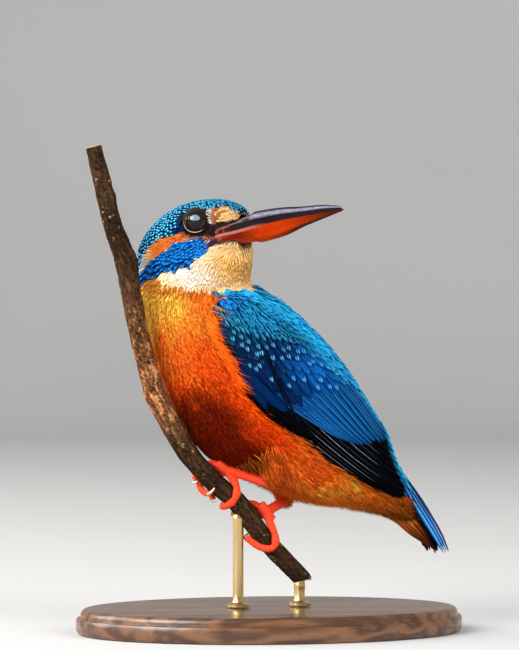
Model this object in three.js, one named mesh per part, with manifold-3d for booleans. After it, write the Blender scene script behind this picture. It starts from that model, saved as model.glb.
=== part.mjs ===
// A common kingfisher, life size, perched on a cut length of twig with its head turned back over its left
// shoulder. Two rods hold the twig on a flat oval base. Millimetres, +Z up, with the origin at the middle
// of the base's underside.
//
// Two frames besides the model's own carry the bird:
//   spine  X runs from the neck towards the tail, Z towards the back, Y to the bird's right
//   head   X runs out along the bill, Z towards the crown, Y to the bird's left
import * as THREE from 'three';
import { mergeVertices } from 'three/addons/utils/BufferGeometryUtils.js';
import Module from 'manifold-3d';

const wasm = await Module();
wasm.setup();

const { PI } = Math;
const { clamp, degToRad, lerp } = THREE.MathUtils;

// ---------------------------------------------------------------- driving dimensions

const GAP = 0.3;                       // clear space between neighbouring solids

const NECK_ROOT = new THREE.Vector3(-22.7, 0, 95);   // where the spine leaves the neck
const SPINE_DROP = 51.4;               // degrees that the spine falls towards the tail
const HEAD_CENTRE = new THREE.Vector3(-23.5, -1, 110);
const HEAD_YAW = -37;                  // degrees from +X, so the bill points back over the left wing
const HEAD_PITCH = 10;                 // degrees that the bill is raised

// Stations down the spine: height of the back, depth of the belly and half width.
const TRUNK = [
  { at: -6, back: 6.0, belly: -13.0, half: 11.0 },    // foot of the neck
  { at: 2, back: 11.2, belly: -16.4, half: 14.5 },    // top of the breast
  { at: 10, back: 15.4, belly: -19.6, half: 17.8 },   // shoulders
  { at: 20, back: 18.2, belly: -23.0, half: 19.8 },   // breast
  { at: 32, back: 20.3, belly: -25.4, half: 20.4 },   // flank
  { at: 41, back: 20.8, belly: -24.6, half: 19.8 },   // belly
  { at: 50, back: 20.0, belly: -20.2, half: 17.8 },   // thighs
  { at: 62, back: 18.6, belly: -14.4, half: 14.0 },   // vent
  { at: 72, back: 16.4, belly: -6.2, half: 10.0 },    // rump
  { at: 80, back: 14.8, belly: 1.6, half: 7.8 },      // tail coverts
  { at: 91, back: 13.3, belly: 8.4, half: 5.6 },      // end of the coverts
];
const TRUNK_END = 78;                  // where the tail takes over from the trunk
const COVERTS_START = 70;

// Stations of the folded wing: its upper edge, its lower edge, how far its middle stands out from the
// spine, and how near its upper edge comes to the line of the back.
const WING = [
  { at: 4.5, upper: 4.0, lower: -1.0, out: 18.0, inner: 13.0 },   // bend of the wing
  { at: 8, upper: 10.5, lower: -4.2, out: 19.0, inner: 9.0 },
  { at: 16, upper: 16.2, lower: -6.4, out: 20.6, inner: 5.0 },    // lesser coverts
  { at: 26, upper: 18.4, lower: -7.8, out: 21.6, inner: 3.6 },    // median coverts
  { at: 36, upper: 19.6, lower: -7.0, out: 21.6, inner: 3.0 },    // greater coverts
  { at: 46, upper: 19.5, lower: -4.6, out: 20.2, inner: 2.4 },
  { at: 58, upper: 18.4, lower: -2.0, out: 17.0, inner: 1.6 },    // secondaries
  { at: 65, upper: 17.6, lower: 0.8, out: 14.4, inner: 1.8 },     // tips of the tertials
  { at: 71, upper: 15.0, lower: 3.4, out: 12.2, inner: 4.6 },
  { at: 76, upper: 13.2, lower: 6.2, out: 10.6, inner: 6.4 },     // primaries
  { at: 84, upper: 11.6, lower: 9.6, out: 8.8, inner: 7.4 },      // wing tip
];
const WING_WAIST = 0.35;               // share of the wing's depth that lies below its widest line
const WING_TUCK = 0.06;                // how much the lower edge turns in towards the belly
const WING_HALF_THICKNESS = 1.2;

// Stations of the tail: the height of its middle and its half width.
const TAIL = [
  { at: 76, mid: 14.6, half: 5.4 },
  { at: 86, mid: 13.6, half: 6.0 },
  { at: 95, mid: 12.8, half: 6.8 },
  { at: 102, mid: 11.8, half: 6.4 },
];
const TAIL_HALF_THICKNESS = 0.9;
const TAIL_ROOF = 3.0;                 // how far the tail's edges hang below its middle

// Stations along the head: crown, underside and half width.
const HEAD = [
  { at: -15.6, crown: -3.4, under: -8.0, half: 4.6 }, // back of the nape
  { at: -11, crown: 2.0, under: -9.8, half: 9.0 },
  { at: -4.5, crown: 6.5, under: -10.6, half: 11.4 },
  { at: 2, crown: 8.5, under: -10.6, half: 11.8 },    // ears
  { at: 8, crown: 8.7, under: -10.0, half: 10.6 },    // eyes
  { at: 13, crown: 7.6, under: -8.8, half: 8.2 },
  { at: 17, crown: 5.8, under: -7.8, half: 6.3 },
  { at: 21.5, crown: 2.2, under: -5.8, half: 3.8 },   // foot of the bill
];

// Levels of the neck: where its middle is, its half length towards the bill, its half width, and how far
// it has turned with the head.
const NECK = [
  { at: 84, x: -23.0, along: 8.0, across: 9.0, yaw: -5 },
  { at: 90, x: -22.6, along: 12.6, across: 12.6, yaw: -15 },
  { at: 94.5, x: -22.0, along: 15.4, across: 13.4, yaw: -25 },    // hem of the throat
  { at: 100, x: -21.6, along: 16.4, across: 12.6, yaw: -33 },
  { at: 106, x: -21.0, along: 17.2, across: 11.4, yaw: -37 },     // throat
  { at: 110.5, x: -20.8, along: 15.6, across: 9.0, yaw: -37 },    // inside the head
];
const NECK_Y = -1;

const EYE_RADIUS = 3.8;
const EYE = { forward: 7.6, side: 7.5, up: 2.5 };

// Stations along the bill: the ridge, the line where the two halves meet, the keel and the half width.
const BILL = [
  { at: 11, ridge: 0.8, bite: -2.7, keel: -5.6, half: 5.4 },      // inside the face
  { at: 15, ridge: 1.9, bite: -2.4, keel: -6.3, half: 5.2 },
  { at: 21.5, ridge: 2.5, bite: -2.1, keel: -6.6, half: 4.5 },    // edge of the feathers
  { at: 30, ridge: 2.1, bite: -1.6, keel: -6.1, half: 2.9 },
  { at: 36, ridge: 1.2, bite: -1.6, keel: -4.7, half: 2.1 },
  { at: 42, ridge: 0.5, bite: -1.7, keel: -3.4, half: 1.4 },
  { at: 46, ridge: -0.4, bite: -1.7, keel: -2.6, half: 0.8 },
  { at: 48.4, ridge: -1.1, bite: -1.75, keel: -2.3, half: 0.4 },  // tip
];
const BILL_SEAM = 0.2;                 // half the slit between the closed halves

// Levels of the twig, from its lower cut end to its upper one: where its middle is, and its radius.
const TWIG = [
  { at: 14.4, x: 9.4, y: -0.4, radius: 2.3 },
  { at: 25.6, x: -1.4, y: -1.8, radius: 2.6 },
  { at: 36.7, x: -10.1, y: -3.0, radius: 2.7 },
  { at: 42.8, x: -17.3, y: -4.2, radius: 2.7 },
  { at: 50.6, x: -24.1, y: -5.2, radius: 2.7 },
  { at: 64.4, x: -32.0, y: -6.6, radius: 2.8 },
  { at: 78.3, x: -36.6, y: -7.6, radius: 2.6 },
  { at: 92.2, x: -39.7, y: -8.3, radius: 2.6 },
  { at: 102.8, x: -41.7, y: -8.7, radius: 2.8 },      // knot
  { at: 113, x: -45.3, y: -9.0, radius: 2.4 },
  { at: 126.9, x: -48.8, y: -9.4, radius: 2.2 },
  { at: 134, x: -50.5, y: -9.5, radius: 2.0 },
];

// Legs. The hip is given along the spine and the heel in the model's frame. A foot stands on the side of
// the twig that faces the bird. Its toes wind round the twig: each is given by the level and the turn
// about the twig of its root and of its end, and by how far its middle bows up the twig. Turn 0 faces
// the bird, 90 the bird's left, and 180 the far side from the bird.
const BIRD_SIDE = new THREE.Vector3(0.78, 0, 0.62);
const LEGS = {
  left: {
    hip: [50, -10.5, -11.5],
    heel: [-1.9, -8.2, 42.0],
    pad: [39.9, 43.8],
    toes: [
      { from: 39.6, to: 38.2, bow: -1.0, start: 20, end: 165, radius: 0.95 },
      { from: 44.6, to: 44.6, bow: 0.6, start: -15, end: -150, radius: 0.8 },
      { from: 43.0, to: 41.8, bow: 1.2, start: -15, end: -205, radius: 0.9 },
      { from: 41.4, to: 40.0, bow: 0.9, start: -15, end: -165, radius: 0.85 },
    ],
  },
  right: {
    hip: [54, 9, -10],
    heel: [5.3, 5.6, 36.2],
    pad: [28.8, 32.6],
    toes: [
      { from: 28.4, to: 29.0, bow: -4.4, start: 15, end: 170, radius: 0.95 },
      { from: 33.4, to: 34.4, bow: 0.6, start: -15, end: -135, radius: 0.8 },
      { from: 31.8, to: 32.6, bow: 0.6, start: -15, end: -150, radius: 0.9 },
      { from: 30.2, to: 30.8, bow: 0.6, start: -15, end: -130, radius: 0.85 },
    ],
  },
};
const THIGH_RADIUS = { hip: 4.6, heel: 2.0 };
const SHANK_RADIUS = 1.35;
const PAD_RADIUS = 1.4;
const CLAW_RADIUS = { root: 0.72, tip: 0.27 };
const CLAW_TURN = 42;                  // degrees round the twig that a claw reaches past its toe

const BASE_LENGTH = 108;
const BASE_WIDTH = 74;
const BASE_HEIGHT = 7;
const BASE_BEVEL = 1.4;
const ROD_RADIUS = 1.5;
const ROD_COLLAR = { radius: 3.2, height: 1.2 };
const ROD_LEVELS = { stand_rod_front: 15.6, stand_rod_rear: 36 };   // twig levels that the rods reach

// ---------------------------------------------------------------- curves and closed bodies

// A smooth curve through one column of a table of stations.
function column(table, key) {
  const slope = (i) => {
    const before = table[Math.max(i - 1, 0)];
    const after = table[Math.min(i + 1, table.length - 1)];
    return (after[key] - before[key]) / (after.at - before.at);
  };
  return (at) => {
    const i = clamp(table.findLastIndex((station) => station.at <= at), 0, table.length - 2);
    const here = table[i];
    const next = table[i + 1];
    const span = next.at - here.at;
    const u = clamp((at - here.at) / span, 0, 1);
    const eased = u * u * (3 - 2 * u);
    const leave = u * (1 - u) * (1 - u) * span * slope(i);
    const arrive = u * u * (u - 1) * span * slope(i + 1);
    return lerp(here[key], next[key], eased) + leave + arrive;
  };
}

// Every column of a table, by name.
function columns(table) {
  const names = Object.keys(table[0]).filter((key) => key !== 'at');
  return Object.fromEntries(names.map((key) => [key, column(table, key)]));
}

// Cosines and sines raised to a power draw an oval whose corners are fuller or leaner than an ellipse's.
function bulge(value, fullness) {
  return Math.sign(value) * Math.abs(value) ** (2 / fullness);
}

// A sphere remapped into a closed body. The rings spread from one end of a run to the other, drawn in
// towards each end over the length of its dome, and outline() places the points of each ring.
function drawnBody({ from, to, dome, sides, rings }, outline) {
  const geometry = new THREE.SphereGeometry(1, sides, rings);
  const places = geometry.attributes.position;
  for (let i = 0; i < places.count; i += 1) {
    const height = clamp(places.getY(i), -1, 1);
    const along = (Math.acos(height) / PI + (1 - height) / 2) / 2;
    const angle = Math.atan2(places.getZ(i), places.getX(i));
    const at = lerp(from, to, along);
    const reach = Math.min((at - from) / dome, (to - at) / dome, 1);
    const swell = Math.sqrt(Math.max(1 - (1 - reach) ** 2, 0));
    places.setXYZ(i, ...outline(at, angle, swell));
  }
  return geometry;
}

// An oval across a run: half width to each side of the middle, a top and a bottom.
function oval({ half, top, bottom, fullness }, angle, swell) {
  const middle = (top + bottom) / 2;
  const across = half * swell * bulge(Math.cos(angle), fullness);
  const up = middle + ((top - bottom) / 2) * swell * bulge(Math.sin(angle), fullness);
  return [across, up];
}

// A round limb with flat ends along a path, its radius a function of the share of the path that is run.
// The rings are those of a sphere, and its two poles lie in the middles of the flat ends.
function limb(path, radius, sides, steps) {
  const geometry = new THREE.SphereGeometry(1, sides, steps + 2);
  const frames = path.computeFrenetFrames(steps);
  const places = geometry.attributes.position;
  for (let i = 0; i < places.count; i += 1) {
    const ring = Math.floor(i / (sides + 1));
    const step = clamp(ring - 1, 0, steps);
    const angle = ((i % (sides + 1)) / sides) * 2 * PI;
    const size = ring === 0 || ring === steps + 2 ? 0 : radius(step / steps);
    const place = path.getPointAt(step / steps);
    place.addScaledVector(frames.normals[step], size * Math.cos(angle));
    place.addScaledVector(frames.binormals[step], size * Math.sin(angle));
    places.setXYZ(i, place.x, place.y, place.z);
  }
  return geometry;
}

// ---------------------------------------------------------------- solids that keep clear of each other

// A manifold solid from geometry, with its surface moved out by the given amount.
function solidFrom(geometry, growth = 0) {
  const shell = geometry.clone();
  shell.deleteAttribute('uv');
  shell.deleteAttribute('normal');
  const merged = mergeVertices(shell, 1e-4);
  const places = merged.attributes.position.array;
  const triVerts = new Uint32Array(merged.index.array);
  const corner = (index) => new THREE.Vector3().fromArray(places, triVerts[index] * 3);
  let volume = 0;
  for (let i = 0; i < triVerts.length; i += 3) {
    volume += corner(i).dot(corner(i + 1).cross(corner(i + 2)));
  }
  if (volume < 0) triVerts.reverse();
  merged.setIndex(new THREE.BufferAttribute(triVerts, 1));
  merged.computeVertexNormals();
  const normals = merged.attributes.normal.array;
  const vertProperties = places.map((value, i) => value + growth * normals[i]);
  return new wasm.Manifold(new wasm.Mesh({ numProp: 3, vertProperties, triVerts }));
}

function joined(geometries, growth) {
  return geometries.map((geometry) => solidFrom(geometry, growth)).reduce((all, next) => all.add(next));
}

const LOOKS = {
  blue: { color: 0x0c4f8f, roughness: 0.6 },
  head: { color: 0x12609c, roughness: 0.6 },
  cream: { color: 0xe8dcc0, roughness: 0.8 },
  orange: { color: 0xd9631a, roughness: 0.8 },
  eye: { color: 0x120b08, roughness: 0.08 },
  billDark: { color: 0x2a1a22, roughness: 0.3 },
  billRed: { color: 0xc23a1c, roughness: 0.35 },
  foot: { color: 0xd8412f, roughness: 0.5 },
  claw: { color: 0xc9b48c, roughness: 0.4 },
  bark: { color: 0x5b4a38, roughness: 0.9 },
  wood: { color: 0x4a2e1c, roughness: 0.5 },
  brass: { color: 0xb08a45, roughness: 0.3, metalness: 1 },
};

const group = new THREE.Group();
const placed = [];

// Adds a named sub-part. It gives way to the sub-parts added before it, so that the first keep their
// whole shape and the later ones are cut clear of them.
function add(name, look, ...geometries) {
  const room = joined(geometries, GAP);
  let solid = joined(geometries, 0);
  for (const earlier of placed) {
    if (!earlier.intersect(room).isEmpty()) solid = solid.subtract(earlier);
  }
  placed.push(room);
  const [body] = solid.decompose().sort((a, b) => b.volume() - a.volume());
  const { vertProperties, triVerts } = body.getMesh();
  const geometry = new THREE.BufferGeometry();
  geometry.setAttribute('position', new THREE.BufferAttribute(vertProperties, 3));
  geometry.setIndex(new THREE.BufferAttribute(triVerts, 1));
  geometry.computeVertexNormals();
  const mesh = new THREE.Mesh(geometry, new THREE.MeshStandardMaterial(LOOKS[look]));
  mesh.name = name;
  group.add(mesh);
}

// ---------------------------------------------------------------- frames

const spine = new THREE.Matrix4().makeRotationY(degToRad(SPINE_DROP)).setPosition(NECK_ROOT);
const headTurn = new THREE.Euler(0, degToRad(-HEAD_PITCH), degToRad(HEAD_YAW), 'ZYX');
const skull = new THREE.Matrix4().makeRotationFromEuler(headTurn).setPosition(HEAD_CENTRE);

// ---------------------------------------------------------------- twig and stand

const twig = columns(TWIG);

function twigCentre(level) {
  return new THREE.Vector3(twig.x(level), twig.y(level), level);
}

// A point at a level of the twig, turned about it, and a distance from its centre line.
function onTwig(level, turn, distance) {
  const centre = twigCentre(level);
  const down = twigCentre(level - 1).sub(centre).normalize();
  const towards = BIRD_SIDE.clone().addScaledVector(down, -BIRD_SIDE.dot(down)).normalize();
  const left = new THREE.Vector3().crossVectors(down, towards);
  centre.addScaledVector(towards, distance * Math.cos(degToRad(turn)));
  centre.addScaledVector(left, distance * Math.sin(degToRad(turn)));
  return centre;
}

function makePerch() {
  const bottom = TWIG[0].at;
  const top = TWIG.at(-1).at;
  const path = new THREE.CatmullRomCurve3(TWIG.map(({ at }) => twigCentre(at)));
  const radius = (share) => twig.radius(lerp(bottom, top, share));
  add('perch', 'bark', limb(path, radius, 10, 22));
}

function makeBase() {
  const outline = new THREE.Shape();
  const rx = BASE_LENGTH / 2 - BASE_BEVEL;
  const ry = BASE_WIDTH / 2 - BASE_BEVEL;
  outline.absellipse(0, 0, rx, ry, 0, 2 * PI);
  const bevel = { bevelEnabled: true, bevelThickness: BASE_BEVEL, bevelSize: BASE_BEVEL, bevelSegments: 2 };
  const depth = BASE_HEIGHT - 2 * BASE_BEVEL;
  const plate = new THREE.ExtrudeGeometry(outline, { depth, curveSegments: 16, ...bevel });
  add('stand_base', 'wood', plate.translate(0, 0, BASE_BEVEL));
}

// A rod stands on a small collar and ends under the twig.
function makeRod(name, level) {
  const foot = twigCentre(level);
  const length = level - BASE_HEIGHT - GAP;
  const profile = [
    new THREE.Vector2(0, 0),
    new THREE.Vector2(ROD_COLLAR.radius, 0),
    new THREE.Vector2(ROD_COLLAR.radius, ROD_COLLAR.height),
    new THREE.Vector2(ROD_RADIUS, ROD_COLLAR.height),
    new THREE.Vector2(ROD_RADIUS, length),
    new THREE.Vector2(0, length),
  ];
  const rod = new THREE.LatheGeometry(profile, 12);
  rod.rotateX(PI / 2);
  add(name, 'brass', rod.translate(foot.x, foot.y, BASE_HEIGHT + GAP));
}

// ---------------------------------------------------------------- head

function makeEye(side, sign) {
  const eye = new THREE.SphereGeometry(EYE_RADIUS, 14, 8);
  eye.translate(EYE.forward, sign * EYE.side, EYE.up);
  add(`eye_${side}`, 'eye', eye.applyMatrix4(skull));
}

// Each half of the bill has a flat face along the bite and a curved one along the ridge or the keel.
function makeBillHalf(name, look, edge, direction) {
  const bill = columns(BILL);
  const run = { from: BILL[0].at, to: BILL.at(-1).at, dome: 1.2, sides: 12, rings: 12 };
  const half = drawnBody(run, (at, angle, swell) => {
    const seam = bill.bite(at) + direction * BILL_SEAM;
    const rise = Math.max(Math.sin(angle), 0) * (bill[edge](at) - seam);
    return [at, bill.half(at) * swell * Math.cos(angle), seam + rise * swell];
  });
  add(name, look, half.applyMatrix4(skull));
}

function makeHead() {
  const head = columns(HEAD);
  const run = { from: HEAD[0].at, to: HEAD.at(-1).at, dome: 5, sides: 20, rings: 13 };
  const shape = drawnBody(run, (at, angle, swell) => {
    const size = { half: head.half(at), top: head.crown(at), bottom: head.under(at), fullness: 2.15 };
    return [at, ...oval(size, angle, swell)];
  });
  add('head', 'head', shape.applyMatrix4(skull));
}

function makeNeck() {
  const neck = columns(NECK);
  const run = { from: NECK[0].at, to: NECK.at(-1).at, dome: 3, sides: 20, rings: 10 };
  const shape = drawnBody(run, (at, angle, swell) => {
    const turn = degToRad(neck.yaw(at));
    const along = neck.along(at) * swell * Math.cos(angle);
    const across = neck.across(at) * swell * Math.sin(angle);
    const x = neck.x(at) + along * Math.cos(turn) - across * Math.sin(turn);
    return [x, NECK_Y + along * Math.sin(turn) + across * Math.cos(turn), at];
  });
  add('neck', 'cream', shape);
}

// ---------------------------------------------------------------- wings, tail and trunk

// A point on the wing's middle surface. Tilt is 1 at the upper edge, 0 at the widest line and below 0
// towards the lower edge.
function wingSurface(wing, at, tilt) {
  const upper = wing.upper(at);
  const lower = wing.lower(at);
  const waist = lerp(lower, upper, WING_WAIST);
  if (tilt < 0) return [wing.out(at) * (1 - WING_TUCK * tilt * tilt), waist + tilt * (waist - lower)];
  const turn = (tilt * PI) / 2;
  const across = lerp(wing.inner(at), wing.out(at), bulge(Math.cos(turn), 2.2));
  return [across, waist + (upper - waist) * bulge(Math.sin(turn), 2.2)];
}

function makeWing(side, sign) {
  const wing = columns(WING);
  const run = { from: WING[0].at, to: WING.at(-1).at, dome: 4, sides: 14, rings: 14 };
  const step = 0.02;
  const shape = drawnBody(run, (at, angle, swell) => {
    const tilt = bulge(Math.cos(angle), 3) * swell;
    const thick = bulge(Math.sin(angle), 3) * swell * WING_HALF_THICKNESS;
    const [across, up] = wingSurface(wing, at, tilt);
    const [nextAcross, nextUp] = wingSurface(wing, at, tilt - step);
    const length = Math.hypot(nextAcross - across, nextUp - up);
    const outAcross = (up - nextUp) / length;
    const outUp = (nextAcross - across) / length;
    return [at, sign * (across + thick * outAcross), up + thick * outUp];
  });
  add(`wing_${side}`, 'blue', shape.applyMatrix4(spine));
}

function trunkBetween(from, to, dome, rings) {
  const trunk = columns(TRUNK);
  const shape = drawnBody({ from, to, dome, sides: 20, rings }, (at, angle, swell) => {
    const size = { half: trunk.half(at), top: trunk.back(at), bottom: trunk.belly(at), fullness: 2.15 };
    return [at, ...oval(size, angle, swell)];
  });
  return shape.applyMatrix4(spine);
}

function makeTail() {
  const tail = columns(TAIL);
  const run = { from: TAIL[0].at, to: TAIL.at(-1).at, dome: 2.5, sides: 14, rings: 8 };
  const vanes = drawnBody(run, (at, angle, swell) => {
    const spread = bulge(Math.cos(angle), 4) * swell;
    const thick = bulge(Math.sin(angle), 4) * swell * TAIL_HALF_THICKNESS;
    return [at, tail.half(at) * spread, tail.mid(at) - TAIL_ROOF * spread * spread + thick];
  });
  const coverts = trunkBetween(COVERTS_START, TRUNK.at(-1).at, 5, 7);
  add('tail', 'blue', vanes.applyMatrix4(spine), coverts);
}

// ---------------------------------------------------------------- legs

function pathThrough(points) {
  return new THREE.CatmullRomCurve3(points);
}

function makeToe(side, number, toe) {
  const wind = (share) => {
    const level = lerp(toe.from, toe.to, share) + toe.bow * Math.sin(PI * clamp(share, 0, 1));
    return [level, lerp(toe.start, toe.end, share)];
  };
  const clear = twig.radius(toe.from) + toe.radius + GAP;
  const points = [0, 0.2, 0.4, 0.6, 0.8, 1].map((share) => onTwig(...wind(share), clear));
  const [level, turn] = wind(1);
  const turnBy = Math.sign(toe.end) * CLAW_TURN;
  const nail = [
    onTwig(level, turn - turnBy / 4, clear),
    onTwig(level, turn + turnBy / 4, clear + 0.3),
    onTwig(level, turn + (turnBy * 2) / 3, clear),
    onTwig(level, turn + turnBy, clear - toe.radius + CLAW_RADIUS.tip),
  ];
  const clawRadius = (share) => lerp(CLAW_RADIUS.root, CLAW_RADIUS.tip, share);
  add(`claw_${side}_${number}`, 'claw', limb(pathThrough(nail), clawRadius, 5, 3));
  const toeRadius = (share) => toe.radius * (1 - 0.12 * share);
  add(`toe_${side}_${number}`, 'foot', limb(pathThrough(points), toeRadius, 6, 7));
}

function makeLeg(side, { hip, heel, pad }) {
  const top = new THREE.Vector3(...hip).applyMatrix4(spine);
  const joint = new THREE.Vector3(...heel);
  const sole = pad.map((level) => onTwig(level, 0, twig.radius(level) + PAD_RADIUS + 0.6));
  const ball = sole[0].clone().lerp(sole[1], 0.5);
  const knee = joint.clone().lerp(top, 0.5);
  const shank = limb(new THREE.LineCurve3(joint, ball), () => SHANK_RADIUS, 8, 3);
  const foot = limb(pathThrough(sole), () => PAD_RADIUS, 7, 3);
  add(`leg_${side}`, 'foot', shank, foot);
  const thighRadius = (share) => lerp(THIGH_RADIUS.hip, THIGH_RADIUS.heel, share);
  const below = joint.clone().lerp(knee, -0.25);
  const thigh = limb(new THREE.LineCurve3(top, below), thighRadius, 10, 4);
  add(`thigh_${side}`, 'orange', thigh);
}

// ---------------------------------------------------------------- the whole model

makePerch();
makeBase();
for (const [name, level] of Object.entries(ROD_LEVELS)) makeRod(name, level);

makeEye('left', 1);
makeEye('right', -1);
makeBillHalf('bill_upper', 'billDark', 'ridge', 1);
makeBillHalf('bill_lower', 'billRed', 'keel', -1);
makeHead();
makeNeck();

makeWing('left', -1);
makeWing('right', 1);
makeTail();

for (const [side, leg] of Object.entries(LEGS)) {
  leg.toes.forEach((toe, i) => makeToe(side, i + 1, toe));
  makeLeg(side, leg);
}
add('trunk', 'orange', trunkBetween(TRUNK[0].at, TRUNK_END, 5, 15));

export default group;
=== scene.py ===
"""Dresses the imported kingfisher: one skin over its flesh, a coat of modelled feathers, bill, eyes, feet, the
twig that it grips, the display stand and a plain studio.

The bird's own sizes are in millimetres, in the model's frame (+Z up, -Y towards the bird's left), and are
turned into metres when a mesh is written. Two more frames carry the plumage: SPINE runs from the neck to the
tail with Z towards the back, and SKULL runs out along the bill with Z towards the crown.
"""

import math
from contextlib import contextmanager

import bpy
import numpy as np
from bpy.props import FloatProperty, FloatVectorProperty, PointerProperty
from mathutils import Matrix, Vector, kdtree, noise
from mathutils.bvhtree import BVHTree

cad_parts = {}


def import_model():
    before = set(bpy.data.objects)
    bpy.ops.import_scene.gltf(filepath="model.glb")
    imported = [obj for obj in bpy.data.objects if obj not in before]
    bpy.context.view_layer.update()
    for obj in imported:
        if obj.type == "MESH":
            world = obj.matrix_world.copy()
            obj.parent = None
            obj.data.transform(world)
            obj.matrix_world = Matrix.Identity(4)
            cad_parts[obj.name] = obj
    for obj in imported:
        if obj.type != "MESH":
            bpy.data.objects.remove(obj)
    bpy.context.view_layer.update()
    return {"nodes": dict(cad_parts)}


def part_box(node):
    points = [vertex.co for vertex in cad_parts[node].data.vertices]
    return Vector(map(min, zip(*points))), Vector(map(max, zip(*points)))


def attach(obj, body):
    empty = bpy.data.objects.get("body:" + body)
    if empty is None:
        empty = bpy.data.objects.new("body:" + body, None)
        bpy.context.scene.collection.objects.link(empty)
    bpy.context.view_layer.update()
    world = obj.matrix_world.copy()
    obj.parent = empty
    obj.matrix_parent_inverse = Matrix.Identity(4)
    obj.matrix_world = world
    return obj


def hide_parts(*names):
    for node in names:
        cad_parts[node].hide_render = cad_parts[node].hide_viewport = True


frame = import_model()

bl_info = {
    "name": "Kingfisher display model",
    "version": (1, 0, 0),
    "blender": (4, 5, 0),
    "location": "View3D > Sidebar > Kingfisher",
    "description": "Builds the skin, coat, bill, eyes, feet, perch and stand of a life-size kingfisher",
    "category": "Add Mesh",
}

NODES = frame["nodes"]
MM = 0.001

# ---------------------------------------------------------------- the bird's measurements, in millimetres

NECK_ROOT = (-22.7, 0, 95)
SPINE_DROP = 51.4  # degrees that the spine falls towards the tail
HEAD_CENTRE = (-23.5, -1, 110)
HEAD_YAW = -37  # degrees from +X
HEAD_PITCH = 10  # degrees that the bill is raised

# Stations of the folded wing: place along the spine, upper edge, lower edge, outermost and innermost reach.
WING = (
    (4.5, 4.0, -1.0, 18.0, 13.0),
    (8, 10.5, -4.2, 19.0, 9.0),
    (16, 16.2, -6.4, 20.6, 5.0),
    (26, 18.4, -7.8, 21.6, 3.6),
    (36, 19.6, -7.0, 21.6, 3.0),
    (46, 19.5, -4.6, 20.2, 2.4),
    (58, 18.4, -2.0, 17.0, 1.6),
    (65, 17.6, 0.8, 14.4, 1.8),
    (71, 15.0, 3.4, 12.2, 4.6),
    (76, 13.2, 6.2, 10.6, 6.4),
    (84, 11.6, 9.6, 8.8, 7.4),
)
WING_WAIST = 0.35
WING_TUCK = 0.06
WING_HALF_THICKNESS = 1.2
WING_FULLNESS = 2.2

# Stations of the tail: place along the spine, height of its middle, half width.
TAIL = ((70, 15.0, 4.6), (76, 14.6, 5.4), (86, 13.6, 6.0), (95, 12.8, 6.8), (102, 11.8, 6.4))
TAIL_ROOF = 3.0
TAIL_TOP = 0.9

EYE_RADIUS = 3.8
EYE = (7.6, 7.5, 2.5)  # forward, to each side, up
EYE_AXIS = (0.31, 0.92, -0.245)
EYE_OPENING = 2.95

# Stations along the bill: place, ridge, bite, keel, half width.
BILL = (
    (11, 0.8, -2.7, -5.6, 5.4),
    (15, 1.9, -2.4, -6.3, 5.2),
    (21.5, 2.5, -2.1, -6.6, 4.5),
    (30, 2.1, -1.6, -6.1, 2.9),
    (36, 1.2, -1.6, -4.7, 2.1),
    (42, 0.5, -1.7, -3.4, 1.4),
    (46, -0.4, -1.7, -2.6, 0.8),
    (48.4, -1.1, -1.75, -2.3, 0.4),
)

# Levels of the twig: height, middle in x and y, radius.
TWIG = (
    (14.4, 9.4, -0.4, 2.3),
    (25.6, -1.4, -1.8, 2.6),
    (36.7, -10.1, -3.0, 2.7),
    (42.8, -17.3, -4.2, 2.7),
    (50.6, -24.1, -5.2, 2.7),
    (64.4, -32.0, -6.6, 2.8),
    (78.3, -36.6, -7.6, 2.6),
    (92.2, -39.7, -8.3, 2.6),
    (102.8, -41.7, -8.7, 2.8),
    (113, -45.3, -9.0, 2.4),
    (126.9, -48.8, -9.4, 2.2),
    (134, -50.5, -9.5, 2.0),
)
BIRD_SIDE = (0.78, 0, 0.62)  # from the twig towards the bird

# Half width of the bill's horn where it spreads under the face towards the gape.
GAPE = ((11.6, 7.4), (12.4, 8.35), (13.4, 8.55), (15, 8.0), (17.8, 6.65), (19.2, 5.9), (21.5, 4.85),
        (25, 4.0), (30, 2.9))
HORN_START = 11.8

# Edges of the feathers above and below the bill's base: place along the bill, height.
FRINGE_TOP = ((12, -1.0), (13.3, -1.0), (14.6, -0.9), (16.4, -0.3), (17.8, 0.1), (19.6, 0.9), (21.8, 2.1),
              (23, 2.6))
FRINGE_LOW = ((12, -5.3), (13.4, -5.2), (14.8, -5.0), (16.3, -4.9), (17.9, -5.1), (19.6, -5.5), (21.3, -6.0),
              (23, -6.3))

# Feet. Each toe is (level of its root, level of its end, how far it bows up, turn at its root, turn at its
# end, radius), the turns in degrees about the twig from the side that faces the bird.
FEET = {
    "left": {
        "hip": (50, -10.5, -11.5),
        "heel": (-1.9, -8.2, 42.0),
        "pad": (39.9, 43.8),
        "toes": (
            (39.6, 38.2, -1.0, 20, 165, 0.95),
            (44.6, 44.6, 0.6, -15, -150, 0.8),
            (43.0, 41.8, 1.2, -15, -205, 0.9),
            (41.4, 40.0, 0.9, -15, -165, 0.85),
        ),
    },
    "right": {
        "hip": (54, 9, -10),
        "heel": (5.3, 5.6, 36.2),
        "pad": (28.8, 32.6),
        "toes": (
            (28.4, 29.0, -4.4, 15, 170, 0.95),
            (33.4, 34.4, 0.6, -15, -135, 0.8),
            (31.8, 32.6, 0.6, -15, -150, 0.9),
            (30.2, 30.8, 0.6, -15, -130, 0.85),
        ),
    },
}
SHANK_RADIUS = 1.35
PAD_RADIUS = 1.4
CLAW_RADIUS = (0.72, 0.2)
CLAW_TURN = 42

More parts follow.
